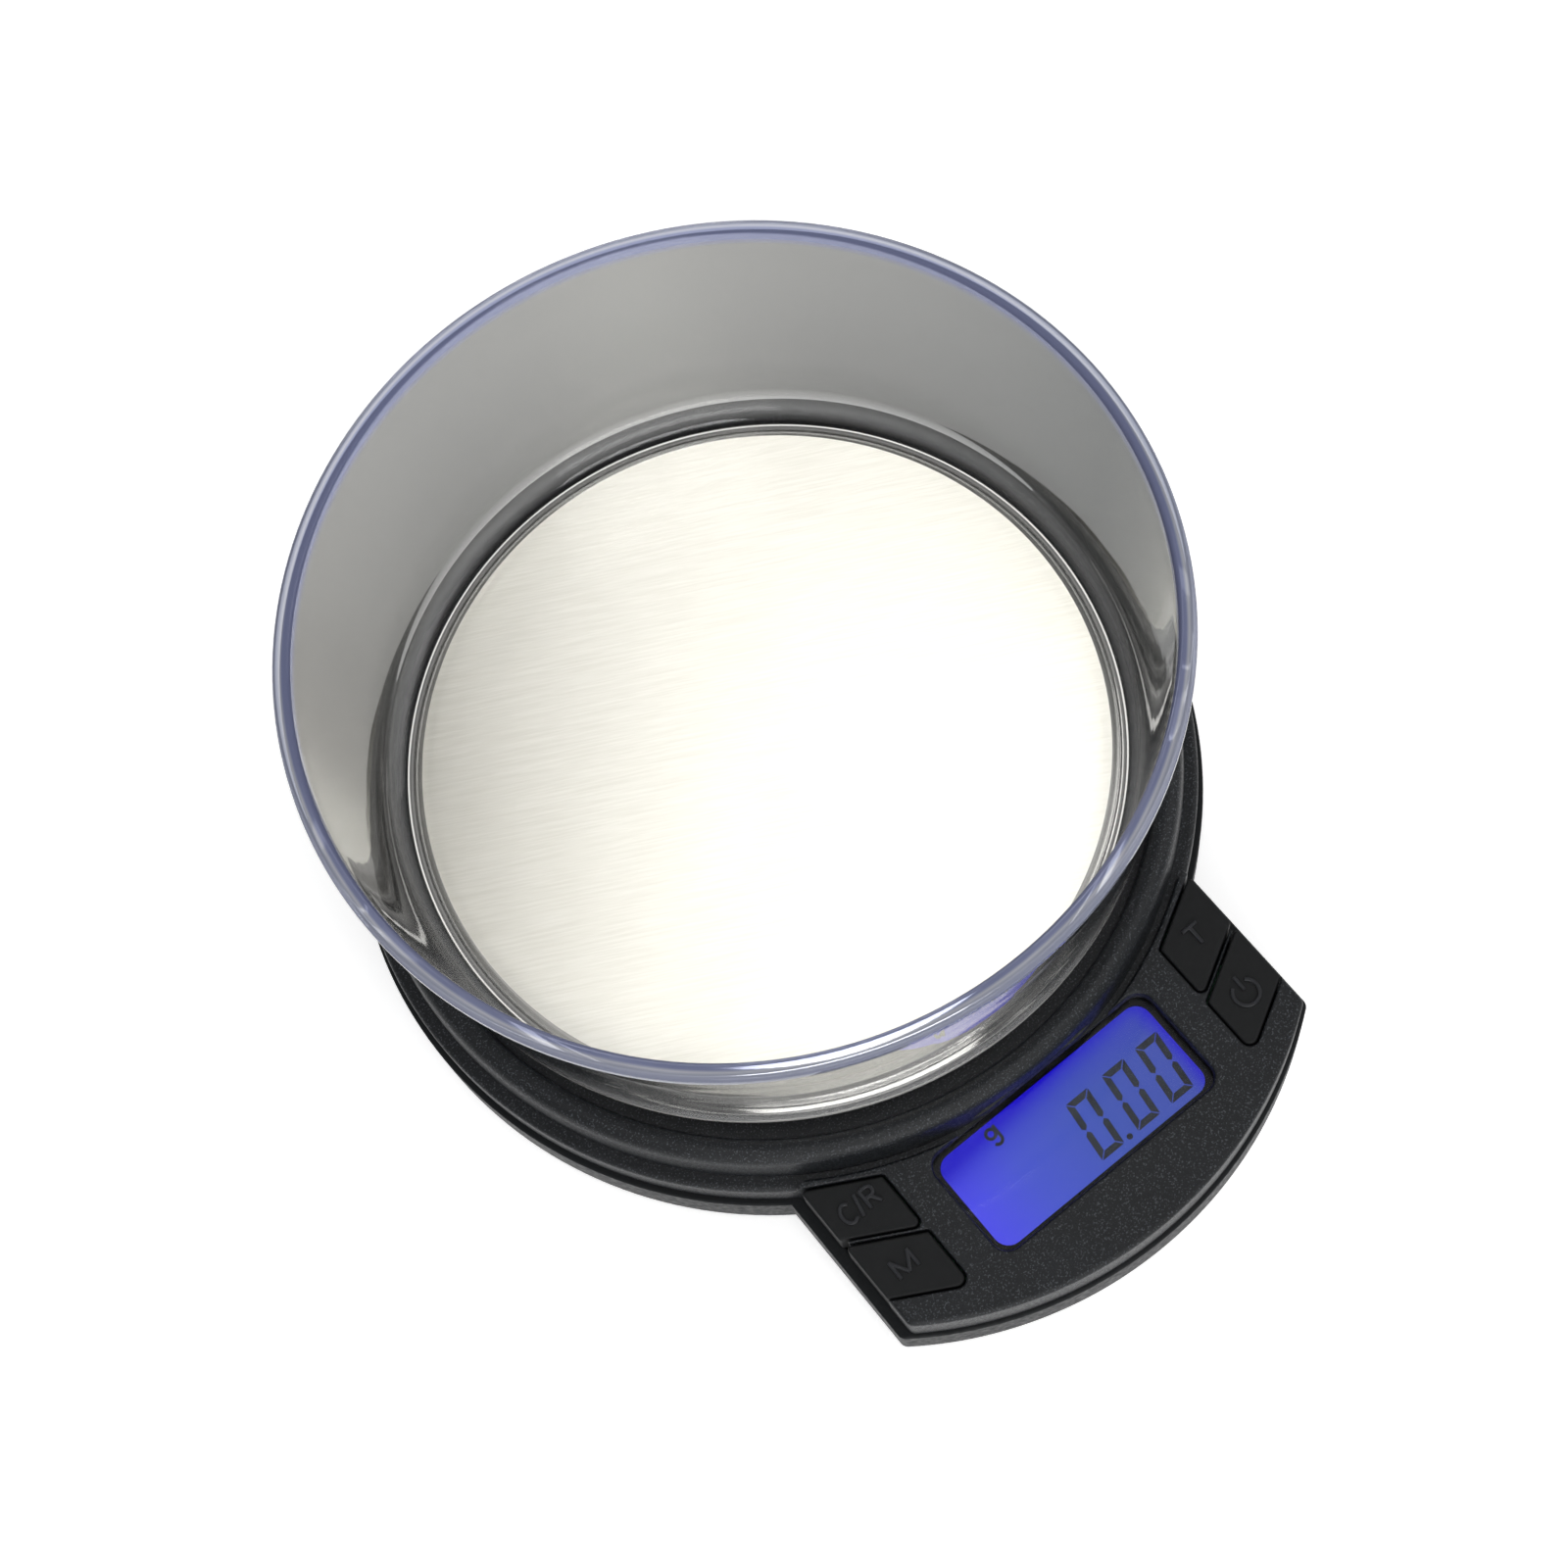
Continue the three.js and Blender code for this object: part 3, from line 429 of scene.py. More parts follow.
# ---- Material helpers -----------------------------------------------------------------
class Shader:
    """A material with one Principled node, and short ways to feed it."""

    def __init__(self, name, colour, roughness, **values):
        self.material = bpy.data.materials.new(name)
        self.material.use_nodes = True
        self.tree = self.material.node_tree
        self.principled = self.tree.nodes["Principled BSDF"]
        self.set(self.principled, "Base Color", (*colour, 1))
        self.set(self.principled, "Roughness", roughness)
        for socket, value in values.items():
            self.set(self.principled, socket.replace("_", " "), value)

    def set(self, node, socket, value):
        node.inputs[socket].default_value = value

    def node(self, kind, **inputs):
        node = self.tree.nodes.new("ShaderNode" + kind)
        for socket, value in inputs.items():
            self.feed(node, socket.replace("_", " "), value)
        return node

    def feed(self, node, socket, value):
        if isinstance(value, bpy.types.NodeSocket):
            self.tree.links.new(value, node.inputs[socket])
        else:
            node.inputs[socket].default_value = value

    def place(self, turn=0.0, stretch=(1, 1, 1)):
        """Object coordinates in millimetres, turned about Z and squeezed."""
        where = self.node("TexCoord").outputs["Object"]
        turned = self.node("Mapping", Vector=where, Rotation=(0, 0, math.radians(turn)))
        sized = self.node("Mapping", Vector=turned.outputs["Vector"],
                          Scale=[value / MM for value in stretch])
        return sized.outputs["Vector"]

    def noise(self, where, size, detail=2.0, roughness=0.5):
        """Noise whose blobs are about size millimetres across."""
        texture = self.node("TexNoise", Vector=where, Scale=1 / size, Detail=detail,
                            Roughness=roughness)
        return texture.outputs["Fac"]

    def ramp(self, factor, *stops):
        """Colours at positions: (position, colour) pairs."""
        node = self.node("ValToRGB", Fac=factor)
        elements = node.color_ramp.elements
        while len(elements) < len(stops):
            elements.new(0.5)
        for element, (position, colour) in zip(elements, stops):
            element.position = position
            element.color = (*colour, 1)
        return node.outputs["Color"]

    def span(self, value, low, high, out_low=0.0, out_high=1.0):
        """The value's place between low and high, kept inside the two ends."""
        node = self.node("MapRange", Value=value)
        for socket, number in zip(("From Min", "From Max", "To Min", "To Max"),
                                  (low, high, out_low, out_high)):
            self.feed(node, socket, number)
        return node.outputs["Result"]

    def math(self, operation, first, second):
        node = self.tree.nodes.new("ShaderNodeMath")
        node.operation = operation
        self.feed(node, 0, first)
        self.feed(node, 1, second)
        return node.outputs[0]

    def length(self, vector):
        node = self.node("VectorMath", Vector=vector)
        node.operation = "LENGTH"
        return node.outputs["Value"]

    def bump(self, height, strength, distance, under=None):
        """Relief of distance millimetres, on top of the relief that under gives."""
        node = self.node("Bump", Height=height, Strength=strength, Distance=distance * MM)
        if under is not None:
            self.feed(node, "Normal", under)
        self.feed(self.principled, "Normal", node.outputs["Normal"])
        return node.outputs["Normal"]

    def colour(self, value):
        self.feed(self.principled, "Base Color", value)

    def roughness(self, value):
        self.feed(self.principled, "Roughness", value)

    def mix(self, factor, first, second):
        """From the first colour to the second; either may be a socket."""
        node = self.tree.nodes.new("ShaderNodeMix")
        node.data_type = "RGBA"
        self.feed(node, 0, factor)
        self.feed(node, 6, first if isinstance(first, bpy.types.NodeSocket) else (*first, 1))
        self.feed(node, 7, second if isinstance(second, bpy.types.NodeSocket) else (*second, 1))
        return node.outputs[2]


# ---- Materials ------------------------------------------------------------------------
BRUSH_ANGLE = -27.8            # from X, degrees
CLEAR_AZIMUTH = -20            # the side on which the bowl's wall is clear, without painted shade
BLACK = (0.006, 0.007, 0.0085)
LEGEND_HIGHLIGHT_GREY = (0.021, 0.022, 0.025)


# Black plastic from a spark-eroded mould: a fine grain, with painted glints where spots of the grain
# are painted paler.
def grained_plastic(name, colour, roughness, grain, depth, painted_glint=None, specular=0.5):
    s = Shader(name, colour, roughness, Specular_IOR_Level=specular)
    where = s.place()
    fine = s.noise(where, grain, 3.0, 0.65)
    s.bump(fine, 0.9, depth)
    wear = s.noise(where, 14.0, 3.0)
    dull = s.mix(s.span(wear, 0.35, 0.7), colour, [c * 1.35 for c in colour])
    # Painted glints: spots of the grain take the paler glint colour, where its facets would catch the
    # light.
    painted_glint_spots = s.span(s.noise(where, grain, 1.0), 0.585, 0.70)
    s.colour(s.mix(painted_glint_spots, dull, painted_glint or colour))
    s.roughness(s.span(s.noise(where, grain * 1.7), 0.3, 0.7, roughness - 0.12, roughness + 0.1))
    return s.material


# Moulded rubber. What stands above the given height is painted paler, a painted highlight on the
# raised marks, and is shinier.
def rubber(name, colour, roughness, specular=0.5, painted_highlight_above=None):
    s = Shader(name, colour, roughness, Specular_IOR_Level=specular)
    where = s.place()
    s.bump(s.noise(where, 0.22, 2.0), 0.35, 0.04)
    mottled = s.mix(s.noise(where, 3.0, 4.0), colour, [c * 1.5 for c in colour])
    s.colour(mottled)
    if painted_highlight_above:
        # Painted highlight: the tops of the raised marks are painted a paler grey.
        height = s.node("SeparateXYZ", Vector=where).outputs["Z"]
        painted_highlight = s.span(height, painted_highlight_above, painted_highlight_above + 0.25)
        s.colour(s.mix(painted_highlight, mottled, LEGEND_HIGHLIGHT_GREY))
        s.roughness(s.span(painted_highlight, 0.0, 1.0, roughness, 0.3))
    return s.material


# Steel brushed in straight lines along BRUSH_ANGLE, which spread its highlights across.
def brushed_steel():
    s = Shader("brushed_steel", (0.88, 0.86, 0.78), 0.3, Metallic=1.0, Anisotropic=0.9)
    lines = s.place(-BRUSH_ANGLE, (0.035, 1, 1))
    broad = s.noise(lines, 0.4, 4.0, 0.75)
    fine = s.noise(lines, 0.12, 2.0, 0.6)
    s.colour(s.mix(s.span(broad, 0.38, 0.62), (0.85, 0.83, 0.75), (0.93, 0.91, 0.84)))
    s.roughness(s.span(broad, 0.3, 0.7, 0.40, 0.46))
    s.bump(fine, 0.25, 0.006)
    across = math.radians(BRUSH_ANGLE + 90)
    tangent = s.node("CombineXYZ", X=math.cos(across), Y=math.sin(across), Z=0.0)
    s.feed(s.principled, "Tangent", tangent.outputs["Vector"])
    return s.material


# The steel's rolled edge and skirt, polished by the drawing die.
def rolled_steel():
    s = Shader("rolled_steel", (0.82, 0.81, 0.78), 0.15, Metallic=1.0)
    around = s.noise(s.place(), 9.0, 3.0)
    s.roughness(s.span(around, 0.3, 0.7, 0.11, 0.19))
    s.bump(s.noise(s.place(stretch=(0.1, 0.1, 1)), 1.2, 1.0), 0.02, 0.01)
    return s.material


# Plated or cast metal with a faint mottle.
def metal(name, colour, roughness, grain=0.4):
    s = Shader(name, colour, roughness, Metallic=1.0)
    where = s.place()
    spots = s.noise(where, grain * 4, 3.0)
    s.colour(s.mix(spots, [c * 0.85 for c in colour], colour))
    s.roughness(s.span(spots, 0.3, 0.7, roughness - 0.08, roughness + 0.12))
    s.bump(s.noise(where, grain), 0.2, 0.01)
    return s.material


# Moulded plastic that is clear in the floor and towards CLEAR_AZIMUTH, with painted shade in the rest
# of the wall: a grey tint, darker on the +X side. A little hazy round the foot, and blue in the rim's
# bead with a painted highlight along its crown. Lamps shine through it.
def bowl_plastic():
    s = Shader("bowl_plastic", (1, 1, 1), 0.02, IOR=1.25, Transmission_Weight=1.0)
    where = s.node("SeparateXYZ", Vector=s.place())
    rise = s.span(where.outputs["Z"], BOWL_BOTTOM, BOWL_TOP)
    x = s.math("SUBTRACT", where.outputs["X"], AXIS.x / MM)
    y = s.math("SUBTRACT", where.outputs["Y"], AXIS.y / MM)
    clear_side = direction(CLEAR_AZIMUTH, 0)
    # Millimetres from the axis, against the clear side.
    away = s.math("ADD", s.math("MULTIPLY", x, -clear_side.x),
                  s.math("MULTIPLY", y, -clear_side.y))
    # Painted shade: the wall away from the clear side is tinted grey, darker towards +X.
    painted_side_shade = s.mix(s.span(x, -BOWL_RIM_RADIUS, BOWL_RIM_RADIUS), (0.29, 0.284, 0.272),
                  (0.215, 0.222, 0.222))
    painted_shade = s.mix(s.span(away, 10.0, 55.0), painted_side_shade, (0.35, 0.35, 0.34))
    wall = s.mix(s.span(away, -40.0, -12.0), (0.94, 0.94, 0.94), painted_shade)
    lower = s.mix(s.span(rise, 0.05, 0.11), (0.96, 0.96, 0.955), wall)
    edge = s.span(rise, 0.945, 0.975)
    level = s.node("CombineXYZ", X=x, Y=y, Z=0.0)
    radius = s.length(level.outputs["Vector"])
    # The bead is blue. Its pale band at 0.55, along the crown, is a painted highlight.
    bead_blue_and_highlight = s.ramp(s.span(radius, BOWL_RIM_RADIUS - 2.5, BOWL_RIM_RADIUS),
                  (0.0, (0.30, 0.33, 0.56)), (0.40, (0.34, 0.38, 0.63)), (0.55, (0.80, 0.82, 0.92)),
                  (0.70, (0.50, 0.53, 0.67)), (1.0, (0.38, 0.41, 0.57)))
    tint = s.mix(edge, lower, bead_blue_and_highlight)
    s.colour(tint)
    foot = s.math("MULTIPLY", s.span(radius, 53.0, 55.0), s.span(rise, 0.30, 0.12))
    haze = s.math("ADD", s.math("MULTIPLY", foot, 0.13), s.math("MULTIPLY", edge, 0.4))
    s.feed(s.principled, "Transmission Weight", s.math("SUBTRACT", 1.0, haze))
    ripple = s.bump(s.noise(s.place(stretch=(1, 1, 0.4)), 14.0, 0.0), 0.04, 0.2)
    s.bump(s.noise(s.place(stretch=(0.02, 0.02, 1)), 3.4, 0.0), 0.04, 0.15, ripple)
    # Lamps reach through the plastic, tinted, instead of casting a solid shadow.
    clear = s.node("BsdfTransparent", Color=tint)
    shadow = s.node("LightPath").outputs["Is Shadow Ray"]
    blend = s.node("MixShader")
    s.feed(blend, 0, shadow)
    s.feed(blend, 1, s.principled.outputs["BSDF"])
    s.feed(blend, 2, clear.outputs["BSDF"])
    s.feed(s.tree.nodes["Material Output"], "Surface", blend.outputs[0])
    return s.material


# The display's clear window, hardly reflecting.
def window_plastic():
    s = Shader("window_plastic", (1, 1, 1), 0.05, IOR=1.3, Transmission_Weight=1.0)
    s.bump(s.noise(s.place(), 5.0, 2.0), 0.05, 0.02)
    return s.material


# The lit glass: deep blue at the side edges and paler in the middle, with painted shade in deep blue
# along the rear edge.
def display_light():
    s = Shader("display_light", (0.004, 0.006, 0.03), 0.5, Emission_Strength=1.0,
               Specular_IOR_Level=0.1)
    where = s.node("SeparateXYZ", Vector=s.place())
    x = where.outputs["X"]
    y = s.math("SUBTRACT", where.outputs["Y"], AXIS.y / MM)
    across = s.span(x, VIEW_X[0], VIEW_X[1])
    depth = s.span(y, VIEW_Y[0], VIEW_Y[1])
    base = s.ramp(across, (0.0, (0.070, 0.070, 0.80)), (0.25, (0.060, 0.088, 0.58)),
                  (0.6, (0.050, 0.088, 0.41)), (0.93, (0.052, 0.08, 0.38)), (1.0, (0.02, 0.015, 0.5)))
    # Painted shade: the rear edge is darkened to deep blue, a painted reflection of the dark rear
    # wall of the window's recess. It reaches further forward on the left.
    diagonal = s.math("SUBTRACT", depth, s.math("MULTIPLY", across, 0.20))
    rear = s.ramp(diagonal, (0.0, (0, 0, 0)), (0.5, (0.02, 0.02, 0.02)), (0.70, (0.30, 0.30, 0.30)),
                  (0.88, (1, 1, 1)))
    glow = s.mix(rear, base, (0.010, 0.004, 0.52))
    s.feed(s.principled, "Emission Color", glow)
    return s.material


# Switched liquid crystal, a little uneven across each mark.
def digit_ink():
    s = Shader("digit_ink", (0.012, 0.02, 0.032), 0.5)
    uneven = s.noise(s.place(), 1.2, 2.0)
    s.colour(s.mix(s.span(uneven, 0.3, 0.7), (0.010, 0.017, 0.027), (0.014, 0.023, 0.037)))
    return s.material


def build_materials():
    return {
        # The casing's grain carries painted glints.
        "casing": grained_plastic("casing_black", BLACK, 0.42, 0.26, 0.08,
                                  painted_glint=(0.054, 0.060, 0.068), specular=0.30),
        "trim": grained_plastic("shell_black", (0.005, 0.006, 0.007), 0.50, 0.5, 0.03,
                                specular=0.18),
        # The keys' raised marks carry a painted highlight.
        "key": rubber("key_rubber", (0.005, 0.0055, 0.006), 0.62, 0.25, KEY_TOP + 0.05),
        "foot": rubber("foot_rubber", (0.03, 0.03, 0.03), 0.8),
        "steel": brushed_steel(),
        "roll": rolled_steel(),
        "zinc": metal("zinc", (0.62, 0.63, 0.65), 0.34),
        "aluminium": metal("cell_aluminium", (0.72, 0.73, 0.75), 0.38, 0.2),
        "bowl": bowl_plastic(),
        "window": window_plastic(),
        "light": display_light(),
        "ink": digit_ink(),
        "mask": rubber("mask_ink", (0.0015, 0.0015, 0.002), 0.6, 0.15),
        "white": grained_plastic("white_plastic", (0.78, 0.77, 0.72), 0.55, 0.4, 0.03),
        "foam": rubber("foam", (0.04, 0.042, 0.046), 0.95),
        "board": grained_plastic("board_mask", (0.01, 0.09, 0.035), 0.38, 0.6, 0.02),
        "chip": grained_plastic("chip_resin", (0.012, 0.012, 0.013), 0.5, 0.3, 0.03),
        "red": grained_plastic("lead_red", (0.5, 0.02, 0.02), 0.4, 0.5, 0.02),
        "black": grained_plastic("lead_black", (0.02, 0.02, 0.02), 0.4, 0.5, 0.02),
        "sleeve": grained_plastic("battery_sleeve", (0.03, 0.12, 0.4), 0.3, 0.8, 0.01),
    }


make_camera()
make_lighting()
make_floor()
LOOK = build_materials()


# ---- Casing outlines ------------------------------------------------------------------
# A circle, two straight sides and a front arc, with a rounded corner between each side
# and the arc. The inset draws every stretch in by the same distance.
def case_outline(radius, half_width, front_radius):
    def outline(inset):
        r, w, f = radius - inset, half_width - inset, front_radius - inset
        corner = max(CASE_CORNER - inset, 0.05)
        side = math.degrees(math.acos(w / r))
        centre_x = w - corner
        centre_y = FRONT_CENTRE_Y - math.sqrt((f - corner) ** 2 - centre_x ** 2)
        toward = math.degrees(math.atan2(centre_y - FRONT_CENTRE_Y, centre_x))
        base = arc((0, 0), r, -side, 180 + side, ROUND)
        left = arc((-centre_x, centre_y), corner, 180, 180 - toward, FINE)
        front = arc((0, FRONT_CENTRE_Y), f, 180 - toward, 360 + toward, ROUND // 3)[1:-1]
        right = arc((centre_x, centre_y), corner, toward, 0, FINE)
        return base + left + front + right
    return outline


base_outline = case_outline(BASE_RADIUS, BASE_HALF_WIDTH, BASE_FRONT_RADIUS)
cover_outline = case_outline(COVER_RADIUS, COVER_HALF_WIDTH, COVER_FRONT_RADIUS)


# The key's outline, or with a negative inset the slot around it, which runs out of the
# console's side.
def key_outline(side, row, outer=KEY_OUTER):
    low, high = KEY_ROWS[row]

    def corner(y, x):
        return side * x, y + KEY_SLOPE * (x - KEY_MIDDLE)

    corners = [corner(low, KEY_INNER), corner(low, outer), corner(high, outer),
               corner(high, KEY_INNER)]
    radii = [1.2 if row == "front" else 0.8, 0.5, 0.5, 0.4]
    if side < 0:
        corners.reverse()
        radii.reverse()
    return lambda inset: rounded_polygon(corners, radii, inset)


# ---- Upper shell ----------------------------------------------------------------------
def build_upper_shell():
    side_join = math.sqrt(COVER_RADIUS ** 2 - COVER_HALF_WIDTH ** 2)
    shell = prism("upper_casing", cover_outline, wall_levels(COVER_BOTTOM, LEDGE_TOP, 0.15, 0.8))
    console = prism("console", cover_outline, wall_levels(LEDGE_TOP - 1.2, CONSOLE_TOP, 0, 0.7))
    mouth = [(GROOVE_OUTER - inset, z) for inset, z in flared_levels(0, CONSOLE_TOP, 0.45)]
    cut(console, lathe("groove", [(0, 0), *mouth, (0, CONSOLE_TOP + 2)]),
        box("rear", (-FAR, FAR), (-side_join, FAR), (0, HIGH)))
    crown = arc((CROWN_MIDDLE, COLLAR_TOP - CROWN_ROUND), CROWN_ROUND, -6, 158, 20)
    collar = lathe("collar", [(0, COVER_BOTTOM), (COLLAR_OUTER, COVER_BOTTOM),
                              (COLLAR_OUTER, COLLAR_SHOULDER), *crown,
                              (COLLAR_INNER, COLLAR_LIP), (COLLAR_INNER, WELL_FLOOR_TOP),
                              (0, WELL_FLOOR_TOP)])
    join(shell, console, collar)
    cut(shell, *cover_cavities())
    join(shell, *[cylinder("post", POST_RADIUS, spot, COVER_BOTTOM, LEDGE_TOP - 1)
                  for spot in CASE_SCREWS])
    cut(shell, *cover_openings())
    return finish_piece(shell, LOOK["casing"], "casing", ["upper_shell"])


# What is hollow under the cover: the ledge, the console, the well and the crown.
def cover_cavities():
    plate = CONSOLE_TOP - CONSOLE_PLATE

    def inner(_):
        return cover_outline(WALL)

    below = prism("below", inner, [(0, 0), (0, LEDGE_TOP - LEDGE_THICK)])
    console = prism("console_hollow", inner, [(0, 0), (0, plate)])
    cut(console, cylinder("collar_side", COLLAR_OUTER, (0, 0), -1, HIGH, ROUND),
        box("rear", (-FAR, FAR), (CONSOLE_HOLLOW_REAR, FAR), (-1, HIGH)))
    well = cylinder("well", COLLAR_BORE[1], (0, 0), 0, WELL_FLOOR_TOP - WELL_FLOOR_THICK, ROUND)
    crown = lathe("crown_hollow", [(COLLAR_BORE[0], 0), (COLLAR_BORE[1], 0),
                                   (COLLAR_BORE[1], COLLAR_BORE_TOP),
                                   (COLLAR_BORE[0], COLLAR_BORE_TOP)])
    bay = box("display_bay", DISPLAY_BAY_X, DISPLAY_BAY_Y, (0, plate))
    return below, console, well, crown, bay


# What goes through the cover: the load cell, the display, the keys and the screws.
def cover_openings():
    cell_slot = prism("cell_slot", rectangle(CELL_SLOT_X, CELL_SLOT_Y, CELL_SLOT_CORNER),
                      flared_levels(10, WELL_FLOOR_TOP, 0.3))
    display = prism("display_hole", rectangle(LCD_X, LCD_Y, LCD_CORNER),
                    flared_levels(11, CONSOLE_TOP, 0.5))
    slots = []
    for side in (-1, 1):
        for row in KEY_ROWS:
            outline = key_outline(side, row, BASE_HALF_WIDTH + 2)
            levels = [(inset - GAP, z) for inset, z in flared_levels(0, CONSOLE_TOP, 0.3)]
            slots.append(prism("key_slot", outline, levels))
        x = sorted((side * (KEY_OUTER - 0.8), side * FAR))
        slots.append(box("rib_end", x, RIB_END_Y, (0, HIGH)))
    holes = [cylinder("screw_hole", SCREW_THREAD, spot, 0, LEDGE_TOP - 1.2, 16)
             for spot in CASE_SCREWS]
    return [cell_slot, display, *slots, *holes]


# ---- Lower shell and battery door -----------------------------------------------------
def build_lower_shell():
    outer = wall_levels(FOOT_HEIGHT, PARTING, 1.0, 0.35)
    shell = prism("lower_casing", base_outline, outer)
    cut(shell, prism("hollow", base_outline, [(WALL, FLOOR_TOP), (WALL, PARTING + 1)]))
    bottom = FLOOR_TOP - 1
    posts = [cylinder("post", LOWER_POST_RADIUS, spot, bottom, LOWER_POST_TOP)
             for spot in CASE_SCREWS]
    standoffs = [cylinder("standoff", BOARD_POST_RADIUS, spot, bottom, BOARD_POST_TOP, 24)
                 for spot in BOARD_POSTS]
    pedestal = box("pedestal", PEDESTAL_X, PEDESTAL_Y, (bottom, PEDESTAL_TOP))
    boss = cylinder("boss", STOP_BOSS_RADIUS, (CELL_HOLES[1], 0), bottom, STOP_BOSS_TOP)
    bay = box("bay", (BAY_X[0] - BAY_WALL, BAY_X[1] + BAY_WALL),
              (BAY_Y[0] - BAY_WALL, BAY_Y[1] + BAY_WALL), (bottom, BAY_TOP))
    join(shell, pedestal, boss, bay, *posts, *standoffs)
    cut(shell, *shell_cuts())
    return finish_piece(shell, LOOK["trim"], "casing", ["lower_shell"])


# The battery bay with its doorway, and the wells, bores and recesses under the shell.
def shell_cuts():
    inside = box("bay_inside", BAY_X, BAY_Y, (0, BAY_TOP + 1))
    door_x = (DOOR_X[0] - GAP, DOOR_X[1] + GAP)
    doorway = box("doorway", door_x, (DOOR_FRONT - GAP, FAR), (0, FLOOR_TOP + 0.1))
    rear = box("doorway_rear", door_x, (BAY_Y[1] + BAY_WALL + 4, FAR), (0, PARTING + 1))
    wells = [cylinder("well", SCREW_WELL, spot, 0, SCREW_HEAD_Z, 32) for spot in CASE_SCREWS]
    bores = [cylinder("bore", SCREW_BORE, spot, 0, HIGH, 16) for spot in CASE_SCREWS]
    cell_x = (-CELL_HOLES[0], -CELL_HOLES[1], CELL_HOLES[1])
    cell_wells = [cylinder("cell_well", CELL_WELL, (x, 0), 0, CELL_WELL_TOP, 32) for x in cell_x]
    cell_bores = [cylinder("cell_bore", CELL_BORE, (x, 0), 0, HIGH, 16) for x in cell_x]
    recesses = [cylinder("recess", FOOT_RADIUS + GAP, spot, 0, FOOT_HEIGHT + FOOT_RECESS)
                for spot in FEET]
    return [inside, doorway, rear, *wells, *bores, *cell_wells, *cell_bores, *recesses]


# The piece of the lower shell between the door's two sides, with grooves for a finger.
def build_battery_door():
    door = prism("battery_lid", base_outline, wall_levels(FOOT_HEIGHT, PARTING + 5, 1.0))
    within = prism("within", rectangle(DOOR_X, (DOOR_FRONT, FAR), 0.5),
                   [(0, FOOT_HEIGHT - 1), (0, PARTING - GAP)])
    combine(door, [within], "INTERSECT")
    hollow = prism("hollow", base_outline,
                   [(WALL, FOOT_HEIGHT + DOOR_THICK), (WALL, PARTING + 6)])
    grips = []
    for i in range(3):
        y = GRIP_FRONT + GRIP_PITCH * i
        grips.append(prism("grip", rectangle(GRIP_X, (y, y + GRIP_WIDTH), 0.5),
                           [(-0.15, 0), (-0.15, FOOT_HEIGHT), (0.1, FOOT_HEIGHT + 0.4),
                            (0.35, FOOT_HEIGHT + 0.5)]))
    arrow = prism("arrow", lambda inset: rounded_polygon(DOOR_ARROW, [0.4] * 3, inset),
                  [(0, 0), (0, FOOT_HEIGHT + 0.25)])
    cut(door, hollow, *grips, arrow)
    return finish_piece(door, LOOK["trim"], "battery_door", ["battery_door"])


# ---- Feet and screws ------------------------------------------------------------------
def build_feet():
    top = FOOT_HEIGHT + FOOT_RECESS - 0.1
    for i, spot in enumerate(FEET, 1):
        edge = arc((FOOT_RADIUS - FOOT_ROUND, FOOT_ROUND), FOOT_ROUND, -90, 0, 6)
        foot = lathe(f"foot_{i}", [(0, 0), (FOOT_RADIUS - 1.6, 0), *edge, (FOOT_RADIUS, top),
                                   (0, top)], 64, spot)
        finish_piece(foot, LOOK["foot"], "casing", [f"rubber_foot_{i}"])


# A cross-head screw that points up: its head's radius and height, its shank's radius and
# length.
def screw(name, spot, head_z, head, height, shank, length):
    dome = arc((head - SCREW_HEAD_ROUND, head_z + SCREW_HEAD_ROUND), SCREW_HEAD_ROUND, -90, 0, 4)
    far = head_z + height
    tip = far + length
    piece = lathe(name, [(0, head_z), *dome, (head, far), (shank, far), (shank, tip), (0, tip)],
                  40, spot)
    arm = head * 0.62
    half = 0.25
    x, y = spot
    deep = (head_z - 1, head_z + height * 0.6)
    return cut(piece, box("slot", (x - arm, x + arm), (y - half, y + half), deep),
               box("slot", (x - half, x + half), (y - arm, y + arm), deep))


def build_screws():
    for i, spot in enumerate(CASE_SCREWS, 1):
        piece = screw(f"case_screw_fine_{i}", spot, SCREW_HEAD_Z - 1.7, 1.9, 1.6, 0.95, 7.5)
        finish_piece(piece, LOOK["zinc"], "casing", [f"case_screw_{i}"])
    lengths = {"load_cell_screw_1": 7.8, "load_cell_screw_2": 7.8, "overload_stop_screw": 2.7}
    for node, length in lengths.items():
        low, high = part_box(node)
        x = (low.x + high.x) / 2 / MM
        piece = screw(node + "_fine", (x, 0), CELL_SCREW_Z, 2.7, 1.1, 1.4, length)
        finish_piece(piece, LOOK["zinc"], "casing", [node])


# ---- Platform and bowl ----------------------------------------------------------------
# A drawn cap: a flat top, a rolled edge and a short skirt. Faces that dip below the flat
# top take the second material.
def build_platform():
    edge = (PLATFORM_RADIUS - PLATFORM_EDGE, PLATFORM_TOP - PLATFORM_EDGE)
    profile = [(0, PLATFORM_TOP - SHEET), *arc(edge, PLATFORM_EDGE - SHEET, 90, 0, 16),
               (PLATFORM_RADIUS - SHEET, PLATFORM_SKIRT_BOTTOM),
               (PLATFORM_RADIUS, PLATFORM_SKIRT_BOTTOM),
               *arc(edge, PLATFORM_EDGE, 0, 90, 16), (0, PLATFORM_TOP)]
    plate = lathe("steel_platform", profile, 192)
    finish_piece(plate, LOOK["steel"], "platform", ["weighing_platform"])
    plate.data.materials.append(LOOK["roll"])
    vertices = plate.data.vertices
    flat_top = (PLATFORM_TOP - LEVEL) * MM
    for face in plate.data.polygons:
        if min(vertices[v].co.z for v in face.vertices) < flat_top:
            face.material_index = 1


